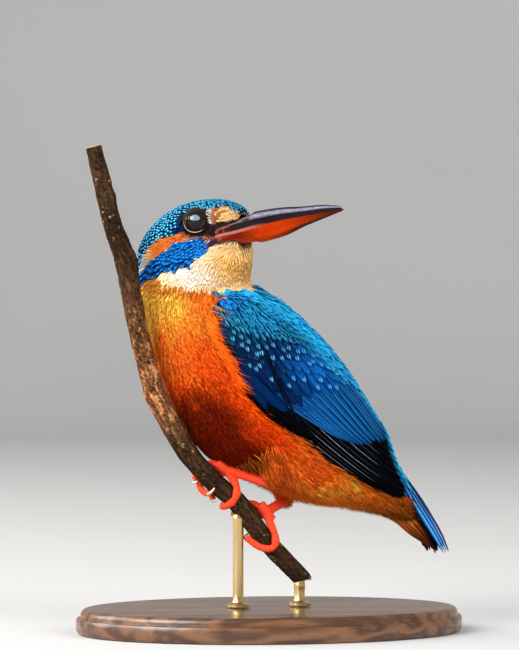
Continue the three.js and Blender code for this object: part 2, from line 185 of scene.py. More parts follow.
# Edges of the head's markings: place along the bill, height. The cheek bands lie between BAND_TOP and
# BAND_LOW, and the white throat between BAND_LOW and HEM.
CAP_LOW = ((-16, -8.0), (-13.7, -7.4), (-11.7, -6.2), (-7.8, -4.3), (-3.8, -1.7), (-1, -0.6), (4.6, -0.4),
           (9, 0))
BAND_TOP = ((-16, -8.6), (-13.7, -8.1), (-7.8, -6.4), (-3.6, -5.2), (0.3, -3.6), (3.9, -2.7), (10.7, -3.0),
            (12.1, -3.6))
BAND_LOW = ((-16, -12), (-11.7, -11.8), (-7.7, -10.9), (-2.5, -10), (4.9, -9.6), (7.7, -8.1), (9.9, -6.9),
            (12.3, -4.9))
HEM = ((-16, -8.5), (-7.7, -8.9), (-4, -9.9), (-1, -11.3), (4.3, -13.3), (8, -14.2), (10.7, -15.2), (14, -17),
       (18, -18.8))

# The wing's lower front edge, where the breast's feathers lie over it: place along the spine, height.
WING_FRONT = ((2, 3.2), (3.2, 1.2), (5.6, -1.0), (8.8, -3.2), (13, -4.4), (19, -5.2), (25, -6.6), (30, -7.6),
              (36, -8))

# Edges of the pale spot before the eye: place along the bill, height.
SPOT_TOP = ((10, 4.6), (12.8, 5.2), (14.7, 5.1), (16.6, 4.5), (18, 3.4), (19.2, 2.2), (22, 1.6))
SPOT_LOW = ((10, 0.3), (12.2, 0.2), (13.5, 0.6), (15, 1.0), (16.9, 0.8), (18.6, 1.2), (22, 1.8))

# How far the neck has turned: height, degrees.
NECK_TWIST = ((84, 0), (88, 10), (96, 75), (106, 143))

# ---------------------------------------------------------------- small mathematics


def unit(vectors):
    return vectors / np.maximum(np.linalg.norm(vectors, axis=-1, keepdims=True), 1e-12)


def ease(low, high, value):
    t = np.clip((np.asarray(value, float) - low) / (high - low), 0, 1)
    return t * t * (3 - 2 * t)


def blend(a, b, share):
    share = np.asarray(share, float)[..., None]
    return np.asarray(a, float) * (1 - share) + np.asarray(b, float) * share


def along(knots, place):
    """The height of a broken line at each place."""
    knots = np.array(knots, float)
    return np.interp(place, knots[:, 0], knots[:, 1])


def through(rows):
    """A smooth curve through a table whose first column is the place along the run."""
    rows = np.array(rows, float)
    at, values = rows[:, 0], rows[:, 1:]
    index = np.arange(len(at))
    before, after = np.maximum(index - 1, 0), np.minimum(index + 1, len(at) - 1)
    slopes = (values[after] - values[before]) / (at[after] - at[before])[:, None]

    def curve(place):
        place = np.asarray(place, float)
        i = np.clip(np.searchsorted(at, place, side="right") - 1, 0, len(at) - 2)
        span = (at[i + 1] - at[i])[..., None]
        u = np.clip((place - at[i])[..., None] / span, 0, 1)
        leave = u * (1 - u) ** 2 * span * slopes[i]
        arrive = u * u * (u - 1) * span * slopes[i + 1]
        return values[i] + (values[i + 1] - values[i]) * (u * u * (3 - 2 * u)) + leave + arrive

    return curve


def spline(points, count):
    """Evenly shared places on a smooth curve through points, which start and end it."""
    points = np.array(points, float)
    rows = np.column_stack([np.linspace(0, 1, len(points)), points])
    return through(rows)(np.linspace(0, 1, count))


def grain(points, size, seed=0):
    """Smooth noise from -1 to 1 at each point, with lumps of about the given size."""
    shifted = (points / size + 17.3 * seed).tolist()
    return np.array([noise.noise(p) for p in shifted])


class Axes:
    """A frame of its own: an origin and three unit axes, in the model's frame."""

    def __init__(self, origin, x, y):
        self.origin = np.array(origin, float)
        self.x, self.y = unit(np.array(x, float)), unit(np.array(y, float))
        self.z = np.cross(self.x, self.y)
        self.rows = np.array([self.x, self.y, self.z])

    def local(self, points):
        return (points - self.origin) @ self.rows.T

    def world(self, points):
        return self.origin + np.asarray(points, float) @ self.rows


def spine_axes():
    drop = math.radians(SPINE_DROP)
    return Axes(NECK_ROOT, (math.cos(drop), 0, -math.sin(drop)), (0, 1, 0))


def skull_axes():
    yaw, pitch = math.radians(HEAD_YAW), math.radians(HEAD_PITCH)
    x = (math.cos(yaw) * math.cos(pitch), math.sin(yaw) * math.cos(pitch), math.sin(pitch))
    return Axes(HEAD_CENTRE, x, (-math.sin(yaw), math.cos(yaw), 0))


SPINE = spine_axes()
SKULL = skull_axes()
wing_curve = through(WING)
tail_curve = through(TAIL)
bill_curve = through(BILL)
twig_curve = through(TWIG)


def bulge(value, fullness):
    return np.sign(value) * np.abs(value) ** (2 / fullness)


def wing_tilt(at, up):
    """Where on the wing a height is: 1 at the upper edge, 0 at the widest line, -1 at the lower edge."""
    upper, lower = wing_curve(at)[..., 0], wing_curve(at)[..., 1]
    waist = lower + (upper - lower) * WING_WAIST
    above = np.clip((up - waist) / np.maximum(upper - waist, 0.01), 0, 1) ** (WING_FULLNESS / 2)
    below = (up - waist) / np.maximum(waist - lower, 0.01)
    return np.where(up < waist, below, np.arcsin(above) * 2 / math.pi)


def wing_place(at, tilt):
    """Across and up on the wing's middle surface."""
    upper, lower, out, inner = np.moveaxis(wing_curve(at), -1, 0)
    waist = lower + (upper - lower) * WING_WAIST
    turn = np.clip(tilt, 0, 1) * math.pi / 2
    across = np.where(
        tilt < 0,
        out * (1 - WING_TUCK * tilt * tilt),
        inner + (out - inner) * bulge(np.cos(turn), WING_FULLNESS),
    )
    above = waist + (upper - waist) * bulge(np.sin(turn), WING_FULLNESS)
    up = np.where(tilt < 0, waist + tilt * (waist - lower), above)
    return across, up


def on_wing(at, tilt, side, lift=0.0):
    """Places on the outer face of a wing, in the model's frame. Side is -1 for the bird's left wing."""
    at, tilt = np.broadcast_arrays(np.asarray(at, float), np.asarray(tilt, float))
    across, up = wing_place(at, tilt)
    lower_across, lower_up = wing_place(at, tilt - 0.02)
    step = np.hypot(lower_across - across, lower_up - up)
    out_across, out_up = (up - lower_up) / step, (lower_across - across) / step
    height = WING_HALF_THICKNESS + lift
    return SPINE.world(np.stack([at, side * (across + height * out_across), up + height * out_up], -1))


def on_twig(level, turn, distance):
    """Points at levels of the twig, turned about it, and a distance from its centre line."""
    level = np.asarray(level, float)
    centre = np.concatenate([twig_curve(level)[..., :2], level[..., None]], -1)
    below = np.concatenate([twig_curve(level - 1)[..., :2], level[..., None] - 1], -1)
    down = unit(below - centre)
    side = np.array(BIRD_SIDE)
    towards = unit(side - down * (down @ side)[..., None])
    left = np.cross(down, towards)
    angle = np.radians(turn)[..., None]
    reach = np.asarray(distance, float)[..., None]
    return centre + reach * (towards * np.cos(angle) + left * np.sin(angle))

# ---------------------------------------------------------------- meshes

RING_START = (0.31, 0.87, 0.38)  # a way that no bar runs, from which its rings are started
MERGE_DISTANCE = 1e-6  # in metres


def select_only(*objects):
    bpy.ops.object.select_all(action="DESELECT")
    for item in objects:
        item.select_set(True)
    bpy.context.view_layer.objects.active = objects[0]


def linked(name, data):
    """A new object of the scene with this mesh, lamp or camera."""
    item = bpy.data.objects.new(name, data)
    bpy.context.scene.collection.objects.link(item)
    return item


def new_object(name, points, faces, smooth=True):
    """An object whose mesh has these places, in millimetres, and faces."""
    mesh = bpy.data.meshes.new(name)
    mesh.from_pydata((np.asarray(points, float) * MM).tolist(), [], [tuple(f) for f in faces])
    mesh.polygons.foreach_set("use_smooth", np.full(len(mesh.polygons), smooth))
    mesh.update()
    return linked(name, mesh)


def places(mesh):
    found = np.empty(len(mesh.vertices) * 3, np.float32)
    mesh.vertices.foreach_get("co", found)
    return found.reshape(-1, 3).astype(float) / MM


def move_to(mesh, points):
    mesh.vertices.foreach_set("co", (np.asarray(points, float) * MM).astype(np.float32).ravel())
    mesh.update()


def outward(mesh):
    found = np.empty(len(mesh.vertices) * 3, np.float32)
    mesh.vertex_normals.foreach_get("vector", found)
    return found.reshape(-1, 3).astype(float)


def triangles(mesh):
    mesh.calc_loop_triangles()
    found = np.empty(len(mesh.loop_triangles) * 3, np.int32)
    mesh.loop_triangles.foreach_get("vertices", found)
    return found.reshape(-1, 3)


def paint(mesh, name, colours):
    """Stores a colour for each vertex, for a material to read."""
    layer = mesh.color_attributes.new(name, "FLOAT_COLOR", "POINT")
    rgba = np.ones((len(mesh.vertices), 4), np.float32)
    rgba[:, : np.shape(colours)[1]] = colours
    layer.data.foreach_set("color", rgba.ravel())


def measure(mesh, name, values):
    layer = mesh.attributes.new(name, "FLOAT", "POINT")
    layer.data.foreach_set("value", np.asarray(values, np.float32))


def map_on(mesh, name, uv):
    """Stores a UV map given by vertex."""
    corners = np.empty(len(mesh.loops), np.int32)
    mesh.loops.foreach_get("vertex_index", corners)
    layer = mesh.uv_layers.new(name=name, do_init=False)
    layer.uv.foreach_set("vector", np.asarray(uv, np.float32)[corners].ravel())


@contextmanager
def edit_mode():
    """Edit mode on the active mesh, with all of it selected."""
    bpy.ops.object.mode_set(mode="EDIT")
    bpy.ops.mesh.select_all(action="SELECT")
    yield
    bpy.ops.object.mode_set(mode="OBJECT")


def face_outward(item):
    """Turns the faces of a mesh outward."""
    select_only(item)
    with edit_mode():
        bpy.ops.mesh.normals_make_consistent(inside=False)


def crease(degrees):
    """Shades the active mesh smooth, except where it turns by more than an angle."""
    bpy.ops.object.shade_smooth_by_angle(angle=math.radians(degrees))


def apply_modifier(item, kind, **settings):
    modifier = item.modifiers.new(kind.title(), kind)
    for key, value in settings.items():
        setattr(modifier, key, value)
    select_only(item)
    bpy.ops.object.modifier_apply(modifier=modifier.name)


def join(items, name):
    select_only(*items)
    if len(items) > 1:
        bpy.ops.object.join()
    items[0].name = items[0].data.name = name
    return items[0]


def run_along(path):
    """How far along a line of points each point lies."""
    return np.concatenate([[0], np.cumsum(np.linalg.norm(np.diff(path, axis=0), axis=1))])


def at_stops(path, run, stops):
    """The places on a line of points at some lengths along it."""
    return np.stack([np.interp(stops, run, path[:, k]) for k in range(3)], 1)


def tube(path, radius, sides):
    """Places and faces of a round bar along a path, closed at both ends."""
    path, radius = np.asarray(path, float), np.broadcast_to(radius, len(path))
    ahead = unit(np.gradient(path, axis=0))
    side = np.cross(ahead[0], RING_START)
    rings = []
    angle = np.linspace(0, 2 * math.pi, sides, endpoint=False)
    for centre, reach, direction in zip(path, radius, ahead):
        side = unit(side - direction * (side @ direction))
        other = np.cross(direction, side)
        rings.append(centre + reach * (np.outer(np.cos(angle), side) + np.outer(np.sin(angle), other)))
    points = np.concatenate([*rings, path[:1], path[-1:]])
    return points, bar_faces(len(path), sides)


def band_faces(rings, sides):
    """Faces between rings that have the same number of points."""
    faces = []
    for ring in range(rings - 1):
        for i in range(sides):
            a, b = ring * sides + i, ring * sides + (i + 1) % sides
            faces.append((a, b, b + sides, a + sides))
    return faces


def bar_faces(rings, sides):
    """Faces of a bar whose last two points close its ends."""
    faces = band_faces(rings, sides)
    first, last = rings * sides, rings * sides + 1
    for i in range(sides):
        faces.append((first, (i + 1) % sides, i))
        faces.append((last, (rings - 1) * sides + i, (rings - 1) * sides + (i + 1) % sides))
    return faces


def finish_piece(item, slot, *nodes):
    """Gives a finished piece its place on the body and hides the nodes that it stands for. The slot is not
    used.
    """
    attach(item, "root")
    if nodes:
        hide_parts(*nodes)
    return item


# ---------------------------------------------------------------- the outline of the plumage

FLESH = ("head", "neck", "trunk", "tail", "wing_left", "wing_right", "thigh_left", "thigh_right")
JOIN_GROWTH = 0.25  # closes the gaps between neighbouring parts, in millimetres
made = {}


def merged_copy(names, label):
    """One object of copies of CAD nodes, with their doubled vertices merged."""
    copies = []
    for name in names:
        item = NODES[name].copy()
        item.data = NODES[name].data.copy()
        item.data.materials.clear()
        item.parent = None
        for key in list(item.keys()):
            del item[key]
        bpy.context.scene.collection.objects.link(item)
        copies.append(item)
    whole = join(copies, label)
    with edit_mode():
        bpy.ops.mesh.remove_doubles(threshold=MERGE_DISTANCE)
    return whole


def biggest_piece(item):
    """Leaves only the largest connected part of a mesh."""
    select_only(item)
    with edit_mode():
        bpy.ops.mesh.separate(type="LOOSE")
    pieces = sorted(bpy.context.selected_objects, key=lambda piece: -len(piece.data.vertices))
    for spare in pieces[1:]:
        bpy.data.objects.remove(spare)
    return pieces[0]


class Outline:
    """The smooth closed surface that the tips of the coat reach."""

    def __init__(self, points, normals, faces):
        self.points, self.normals, self.faces = points, normals, faces
        self.tree = BVHTree.FromPolygons(points.tolist(), faces.tolist())
        self.facing = unit(normals[faces].mean(axis=1))
        corners = points[faces]
        across = np.cross(corners[:, 1] - corners[:, 0], corners[:, 2] - corners[:, 0])
        self.area = np.linalg.norm(across, axis=1) / 2
        self.middle = corners.mean(axis=1)

    def nearest(self, points):
        found = [self.tree.find_nearest(p) for p in np.asarray(points).tolist()]
        index = np.array([hit[2] for hit in found])
        return np.array([hit[0] for hit in found]), self.facing[index]

    def struck(self, origins, directions):
        """First places that rays meet, with NaN where they miss."""
        out = np.full((len(origins), 3), np.nan)
        for i, (origin, direction) in enumerate(zip(origins.tolist(), directions.tolist())):
            hit = self.tree.ray_cast(origin, direction)[0]
            if hit is not None:
                out[i] = hit
        return out

    def scatter(self, wanted, spacing, seed):
        """Places about a spacing apart on the triangles that are wanted."""
        rng = np.random.default_rng(seed)
        chosen = np.flatnonzero(wanted)
        weight = self.area[chosen]
        count = int(weight.sum() / spacing**2 * 4)
        picked = chosen[rng.choice(len(chosen), count, p=weight / weight.sum())]
        a, b = rng.random((2, count, 1))
        low = a + b > 1
        a, b = np.where(low, 1 - a, a), np.where(low, 1 - b, b)
        corner = self.points[self.faces[picked]]
        spots = corner[:, 0] * (1 - a - b) + corner[:, 1] * a + corner[:, 2] * b
        tree = kdtree.KDTree(count)
        for i, spot in enumerate(spots.tolist()):
            tree.insert(spot, i)
        tree.balance()
        free = np.ones(count, bool)
        kept = []
        for i, spot in enumerate(spots.tolist()):
            if free[i]:
                kept.append(i)
                for _, j, _ in tree.find_range(spot, spacing * 0.8):
                    free[j] = False
        return spots[kept], self.facing[picked[kept]]


def outline():
    """The outline of the feathered body, made once and shared by the skin and the coat."""
    if "outline" not in made:
        sizes = bpy.context.scene.kingfisher_sizes
        shell = merged_copy((*FLESH, "eye_left", "eye_right"), "outline")
        move_to(shell.data, places(shell.data) + JOIN_GROWTH * outward(shell.data))
        apply_modifier(shell, "REMESH", mode="VOXEL", voxel_size=sizes.skin_detail)
        apply_modifier(shell, "SMOOTH", factor=0.5, iterations=6)
        shell = biggest_piece(shell)
        normals = outward(shell.data)
        made["shell"] = shell
        made["outline"] = Outline(places(shell.data) - JOIN_GROWTH * normals, normals, triangles(shell.data))
    return made["outline"]

# ---------------------------------------------------------------- markings

CROWN, BAND, EAR, PATCH, LORE_SPOT, LORES, CHEEK, THROAT = range(8)
BREAST, THIGH, MANTLE, RUMP, WING_ZONE, TAIL_TOP_ZONE, VENT, TAIL_UNDER = range(8, 16)

COLOURS = {
    CROWN: (0.0012, 0.026, 0.095),
    BAND: (0.0012, 0.070, 0.30),
    EAR: (0.70, 0.155, 0.022),
    PATCH: (0.50, 0.50, 0.53),
    LORE_SPOT: (0.92, 0.55, 0.22),
    LORES: (0.022, 0.016, 0.018),
    CHEEK: (0.78, 0.36, 0.16),
    THROAT: (0.90, 0.82, 0.70),
    BREAST: (0.95, 0.20, 0.013),
    THIGH: (0.87, 0.30, 0.03),
    MANTLE: (0.008, 0.19, 0.42),
    RUMP: (0.02, 0.45, 0.70),
    WING_ZONE: (0.005, 0.075, 0.24),
    TAIL_TOP_ZONE: (0.01, 0.13, 0.50),
    VENT: (0.87, 0.30, 0.03),
    TAIL_UNDER: (0.030, 0.016, 0.012),
}


FLAME_STRETCH = (0.35, 1, 1)  # draws the warm plumage's noise out along the body
SHADOW_BLUE = (0.0012, 0.002, 0.004)
NECK_BASE = 84  # height at which the neck's markings start
NAPE_HALF = 42  # degrees of turn to each side that the blue nape takes up
OPENING_REACH = 2.9  # how far the middle of the eye's opening lies from the eye's centre
DARK_RING = 4.2  # how far the dark feathers reach from there
EAR_END = -7  # place along the bill where the ear patch meets the pale patch
NAPE_END = -17  # place along the bill where the head's markings end


def marks(points):
    """The zone of the plumage that each point on the outline belongs to."""
    head, body = SKULL.local(points), SPINE.local(points)
    wander = grain(points, 1.6) * 0.5
    x, z = head[:, 0] + wander, head[:, 2] + wander
    side = np.abs(head[:, 1])
    at, across, up = body[:, 0], np.abs(body[:, 1]), body[:, 2]
    height = points[:, 2]

    zone = np.full(len(points), BREAST)
    middle = (wing_curve(at)[:, 0] + wing_curve(at)[:, 1]) / 2
    back = np.degrees(np.arctan2(up - np.clip(at * 0.3 - 2, -4, 3), across))
    zone[(back > 47 - 24 * ease(15, 7, at) * ease(-8, -2, at)) & (at > -9)] = MANTLE
    zone[(at > 50) & (across < 7) & (up > middle)] = RUMP

    turn = np.degrees(np.arctan2(points[:, 1] - HEAD_CENTRE[1], points[:, 0] + 22))
    off_nape = np.abs((turn - along(NECK_TWIST, height) + 180) % 360 - 180)
    neck = (height > NECK_BASE) & (z < -7) & (at < 8)
    zone[neck & (off_nape < NAPE_HALF)] = MANTLE

    tilt = wing_tilt(at, up)
    wing_across, _ = wing_place(at, np.clip(tilt, -1, 1))
    on = (at > 2.6) & (at < 85) & (tilt > -1.12) & (up > along(WING_FRONT, at))
    on &= (across > wing_across - 1.6) & (up < wing_curve(at)[:, 0] + 2.2)
    zone[on] = WING_ZONE
    zone[on & (at > 43) & (tilt > 0.80)] = RUMP

    mid, half = np.moveaxis(tail_curve(at), -1, 0)
    ridge = mid - TAIL_ROOF * np.minimum(across / half, 1) ** 2
    zone[(at > 62) & ~on & (up < ridge - 1.6)] = VENT
    zone[(at > 60) & ~on & (up >= ridge - 1.6)] = RUMP
    zone[(at > 80) & (up < ridge - 1.0)] = VENT
    zone[(at > 80) & (up >= ridge - 1.0)] = TAIL_TOP_ZONE
    zone[(at > 97) & (up <= ridge - 0.4)] = TAIL_UNDER

    zone[(at > 44) & (at < 64) & (up < -9) & (height < 62)] = THIGH

    chin = (side < 3.2) & (x > 4) & (z < -3)
    throat = (z > along(HEM, x)) & ((z <= along(BAND_LOW, x)) | chin)
    throat &= (x > -6.5) & (height > NECK_BASE) & (off_nape > NAPE_HALF)
    zone[throat] = THROAT
    zone[throat & (points[:, 0] > -8.4 + 0.235 * (height - 94)) & (height < 98.5)] = MANTLE
    zone[(z > along(CAP_LOW, x)) & (x > NAPE_END)] = CROWN
    band = (z > along(BAND_LOW, x)) & (z <= along(BAND_TOP, x)) & (x > NAPE_END) & (x < 12.4) & ~chin
    zone[band] = BAND
    zone[band & (x < -13) & (side < 5)] = CROWN
    between = (z > along(BAND_TOP, x)) & (z <= along(CAP_LOW, x)) & (x < 6)
    behind = between & (x <= EAR_END)
    zone[between & ~behind] = EAR
    zone[behind] = PATCH
    zone[behind & (side < 2.2)] = CROWN
    zone[(z > along(BAND_TOP, x)) & (z < -1.5) & (x >= 5) & (x < 13)] = CHEEK
    face = (x >= 8.5) & (z > -1.6) & (z < along(SPOT_TOP, x))
    zone[face] = LORES
    zone[face & (x > 11.6) & (x < 19.1) & (z > along(SPOT_LOW, x)) & (side > 1.2)] = LORE_SPOT
    opening = eye_beside(head) + unit(np.array(EYE_AXIS)) * OPENING_REACH * on_side(head)
    zone[np.linalg.norm(head - opening, axis=1) < DARK_RING] = LORES
    return zone


def on_side(head):
    """Turns the bird's left eye into the eye on each point's own side of the head."""
    flip = np.ones_like(head)
    flip[:, 1] = np.where(head[:, 1] > 0, 1, -1)
    return flip


def eye_beside(head):
    """The centre of the eye on each point's own side of the head."""
    return np.array(EYE) * on_side(head)


def layered(base, *layers):
    """A colour with others laid over it in turn, each by its own share."""
    for colour, share in layers:
        base = blend(base, colour, share)
    return base


def plumage(points, zone):
    """The colour of the plumage at each point."""
    head, body = SKULL.local(points), SPINE.local(points)
    x, z = head[:, 0], head[:, 2]
    at, across, up = body[:, 0], np.abs(body[:, 1]), body[:, 2]
    colour = np.array([COLOURS[each] for each in sorted(COLOURS)])[zone]
    patchy = grain(points, 5, 3)
    flames = grain(body * FLAME_STRETCH, 3.2, 9)

    def put(where, value):
        colour[where] = np.broadcast_to(value, colour.shape)[where]

    flank = np.degrees(np.arctan2(across, -up))
    gold = ease(5.5, -4, at + patchy * 4 + flames * 2) * ease(92, 72, flank + flames * 12)
    # The belly's downward-facing middle is laid over with a near-black red: partly a deeper red of its own,
    # partly painted shade.
    low = ease(12, 24, at + patchy * 3 + flames * 3) * ease(54, 44, at + patchy * 3)
    low = low * ease(70, 40, flank + flames * 12)
    warm = layered(
        (1.0, 0.16, 0.014),
        ((0.95, 0.085, 0.005), ease(2, 20, at + patchy * 5)),
        ((0.88, 0.058, 0.003), ease(20, 34, at + patchy * 5) * ease(50, 42, at)),
        ((1.0, 0.47, 0.052), gold),
        ((1.0, 0.30, 0.03), ease(0.05, 0.6, flames) * ease(16, 4, at) * (1 - gold) * 0.55),
        ((0.10, 0.004, 0.0008), low * 0.92),
        ((0.95, 0.12, 0.010), ease(44, 54, at + patchy * 6) * 0.9),
        ((1.0, 0.30, 0.03), ease(48, 58, at) * ease(0.1, 0.6, flames) * 0.6),
        ((0.55, 0.17, 0.022), ease(95.0, 97.0, points[:, 2] + flames) * 0.8),
    )
    put((zone == BREAST) | (zone == THIGH), warm)

    spot = zone == LORE_SPOT
    put(spot, blend((0.62, 0.56, 0.56), colour, ease(12.7, 13.6, x - 0.9 * grain(points, 0.8, 13))))
    put(spot & (x > 12.9) & (grain(points, 1.1, 12) > 0.1 + 0.32 * (x - 15.2)), (0.42, 0.15, 0.045))
    put(zone == BAND, blend(colour, (0.12, 0.022, 0.018), ease(10.9, 11.3, x)))
    put(zone == EAR, blend((0.90, 0.55, 0.22), colour, ease(-7, -3, x)))

    hem = ease(2.6, 0.0, z - along(HEM, x))
    cream = layered(
        (0.80, 0.69, 0.56),
        ((0.82, 0.50, 0.21), ease(6, 14, x) * 0.85),
        ((0.76, 0.36, 0.05), np.exp(-(((x - 15.5) / 3.2) ** 2) - ((z + 9.5) / 3.4) ** 2) * 0.85),
        ((1.0, 0.62, 0.16), hem * ease(-0.7, 0.4, patchy) * 0.8),
    )
    put(zone == THROAT, cream)
    gape_line = np.exp(-(((z - along(BAND_TOP, x) - 0.3) / 0.35) ** 2))
    cheek = layered(colour, ((0.022, 0.010, 0.009), ease(7.8, 9.4, x)), ((0.58, 0.20, 0.14), gape_line))
    put(zone == CHEEK, cheek)

    tilt = wing_tilt(at, up)
    blue = layered(
        (0.0010, 0.020, 0.055),
        ((0.0009, 0.011, 0.056), ease(12, 30, at)),
        ((0.002, 0.065, 0.27), ease(-0.1, 0.25, tilt) * ease(28, 38, at)),
        ((0.003, 0.10, 0.38), ease(9.8, 7.2, at + patchy * 2) * ease(1.0, 3.0, up)),
        ((0.005, 0.17, 0.38), ease(-0.1, 0.35, tilt) * ease(24, 17, at) * ease(7, 11, at) * 0.75),
        ((0.005, 0.25, 0.54), ease(0.36, 0.7, tilt) * ease(62, 26, at)),
        (SHADOW_BLUE, ease(-0.55, -0.8, tilt) * ease(10, 16, at)),
        (SHADOW_BLUE, ease(60, 63, at + 0.35 * (up - 10))),
    )
    put(zone == WING_ZONE, blue)
    put((zone == MANTLE) | (zone == RUMP), blend((0.003, 0.060, 0.20), (0.010, 0.30, 0.58), ease(2, 40, at)))

    tufts = ease(79, 68, at) * ease(-0.1, 0.4, grain(body * FLAME_STRETCH, 3.0, 8)) * 0.85
    fluff = layered(
        (0.90, 0.16, 0.010),
        ((0.13, 0.015, 0.002), ease(66, 84, at + patchy * 4)),
        ((0.24, 0.05, 0.008), ease(84, 90, at) * ease(-0.3, 0.4, patchy)),
        ((1.0, 0.55, 0.08), tufts),
    )
    put(zone == VENT, fluff)
    return colour


def lie(points, zone):
    """Which way the feathers point, before that is laid flat on the surface."""
    head, body = SKULL.local(points), SPINE.local(points)
    down = np.array((0.0, 0.0, -1.0))
    back_of_head = -SKULL.x - 0.2 * SKULL.z * ease(0, -5, head[:, 2])[:, None]
    falls = np.maximum(ease(-6.5, -12, head[:, 2]) * ease(-14, 4, head[:, 0]), ease(-9, -15, head[:, 0]))
    on_head = blend(back_of_head, down + 0.15 * SPINE.x - 0.18 * SKULL.x, falls)
    chin = ease(12, 17, head[:, 0]) * ease(-12, -7.5, head[:, 2]) * ease(6.5, 4, np.abs(head[:, 1]))
    on_head = blend(on_head, down + 0.12 * SKULL.x, chin * ease(-3.5, -4.5, head[:, 2]))
    on_body = np.broadcast_to(SPINE.x, points.shape)
    share = ease(NECK_BASE, 97, points[:, 2]) * ease(12, 2, body[:, 0])
    share = np.where(zone <= THROAT, np.maximum(share, 0.85), share)
    flow = blend(on_body, on_head, share)
    thigh = (zone == THIGH)[:, None]
    flow = np.where(thigh, down * 0.55 + SPINE.x * 0.6, flow)
    wing = zone == WING_ZONE
    swing = np.radians(-11 * ease(0.55, 0.1, wing_tilt(body[:, 0], body[:, 2])))
    turned = np.cos(swing)[:, None] * SPINE.x + np.sin(swing)[:, None] * SPINE.z
    return unit(np.where(wing[:, None], turned, flow))

# ---------------------------------------------------------------- feathers

LEAN = ((-1, 0), (0, 1), (1, 0))
FULL = ((-1, 0), (-0.5, 0.8), (0, 1), (0.5, 0.8), (1, 0), (0, -0.4))

# Sheets of the bake map: where a sheet starts on the bird and its length there, and the same on the map.
HEAD_SHEET = (-20, 45, 0.68, 0.3)
BODY_SHEET = (-14, 120, 0.01, 0.64)
HEAD_SHEET_FLOOR = 99  # the height above which feathers lie on the head's sheet
SHEET_TURN = 2.04 * math.pi  # the turn about the bird that the map's width stands for
PATCH_SIZE = 0.003  # how far one feather reaches across the map

# Ways to cut a feather: shares of its length, its width at each, and its section.
STRAND = ((0.0, 0.45, 1.0), (0.8, 1.0, 0.0), LEAN)
TUFT = ((0.0, 0.38, 0.78, 1.0), (0.55, 1.0, 0.72, 0.0), LEAN)
ROUND = ((0.0, 0.3, 0.6, 0.82, 0.94, 1.0), (0.55, 0.92, 1.0, 0.82, 0.5, 0.0), FULL)
LONG = (
    (0.0, 0.12, 0.26, 0.4, 0.54, 0.68, 0.8, 0.9, 0.97, 1.0),
    (0.5, 0.7, 0.9, 1.0, 1.0, 0.94, 0.8, 0.6, 0.34, 0),
    FULL,
)
LINE_STEPS = 32  # how finely the line of a long feather is followed


def coat_map(roots):
    """Where each root lies on a flat unwrap of the bird, one sheet for the head and one for the body."""
    head, body = SKULL.local(roots), SPINE.local(roots)
    on_head = roots[:, 2] > HEAD_SHEET_FLOOR

    def down_sheet(place, sheet):
        start, length, low, size = sheet
        return (place - start) / length * size + low

    turn = np.where(on_head, np.arctan2(head[:, 1], head[:, 2] + 2), np.arctan2(body[:, 1], body[:, 2] - 1))
    run = np.where(on_head, down_sheet(head[:, 0], HEAD_SHEET), down_sheet(body[:, 0], BODY_SHEET))
    return np.stack([turn / SHEET_TURN + 0.5, np.clip(run, 0.005, 0.99)], 1)


def vane_faces(rings, section):
    """Faces of one closed vane: rings of the section, a tip and a cap at the root."""
    steps = len(section)
    faces = band_faces(rings, steps)
    last, tip = (rings - 1) * steps, rings * steps
    faces += [(last + m, last + (m + 1) % steps, tip) for m in range(steps)]
    return [*faces, tuple(reversed(range(steps)))]


def feather_mesh(name, cut, centre, side, up, half, thick, tint, signs):
    """Closed vanes as one mesh. Centre, side and up are given at each station of each feather, half is its
    half width and thick its rise there, tint its colour there, and signs holds each feather's share of
    tip spot, pale shaft and dark edge."""
    shares, widths, section = cut
    count, stations = centre.shape[:2]
    rings = stations - 1
    around = np.array(section, float)
    half = np.asarray(half, float).reshape(-1, 1) * np.array(widths)
    rise = np.asarray(thick, float).reshape(-1, 1) * np.array(widths) ** 0.5
    ring = centre[:, :-1, None] + side[:, :-1, None] * (half[:, :-1, None] * around[:, 0])[..., None]
    ring = ring + up[:, :-1, None] * (rise[:, :-1, None] * around[:, 1])[..., None]
    points = np.concatenate([ring.reshape(count, -1, 3), centre[:, -1:]], axis=1)
    each = points.shape[1]
    faces = vane_faces(rings, section)
    lengths = np.tile(np.array([len(f) for f in faces], np.int32), count)
    pattern = np.concatenate([np.array(f, np.int32) for f in faces])
    corners = (pattern[None] + (np.arange(count, dtype=np.int32) * each)[:, None]).ravel()

    mesh = bpy.data.meshes.new(name)
    mesh.vertices.add(count * each)
    mesh.vertices.foreach_set("co", (points * MM).astype(np.float32).ravel())
    mesh.loops.add(len(corners))
    mesh.loops.foreach_set("vertex_index", corners)
    mesh.polygons.add(len(lengths))
    mesh.polygons.foreach_set("loop_start", np.concatenate([[0], np.cumsum(lengths)[:-1]]).astype(np.int32))
    mesh.polygons.foreach_set("use_smooth", np.ones(len(lengths), bool))
    mesh.update(calc_edges=True)

    over = np.array([*(shares[k] for k in range(rings) for _ in section), 1.0])
    across = np.array([*(u for _ in range(rings) for u, _ in section), 0.0])
    patch = np.stack([across, over * 2 - 1], 1) * PATCH_SIZE / 2
    map_on(mesh, "OFBake", (coat_map(centre[:, 0])[:, None] + patch).reshape(-1, 2))
    vane = np.stack([across / 2 + 0.5, over], 1)
    map_on(mesh, "vane", np.broadcast_to(vane, (count, each, 2)).reshape(-1, 2))
    station = [*(k for k in range(rings) for _ in section), rings]
    paint(mesh, "tint", tint[:, station].reshape(-1, 3))
    length = np.linalg.norm(centre[:, -1] - centre[:, 0], axis=1, keepdims=True) * MM * 100
    signs = np.broadcast_to(np.array(signs, float), (count, 3))
    paint(mesh, "signs", np.repeat(np.hstack([signs, length]), each, axis=0))
    return linked(name, mesh)


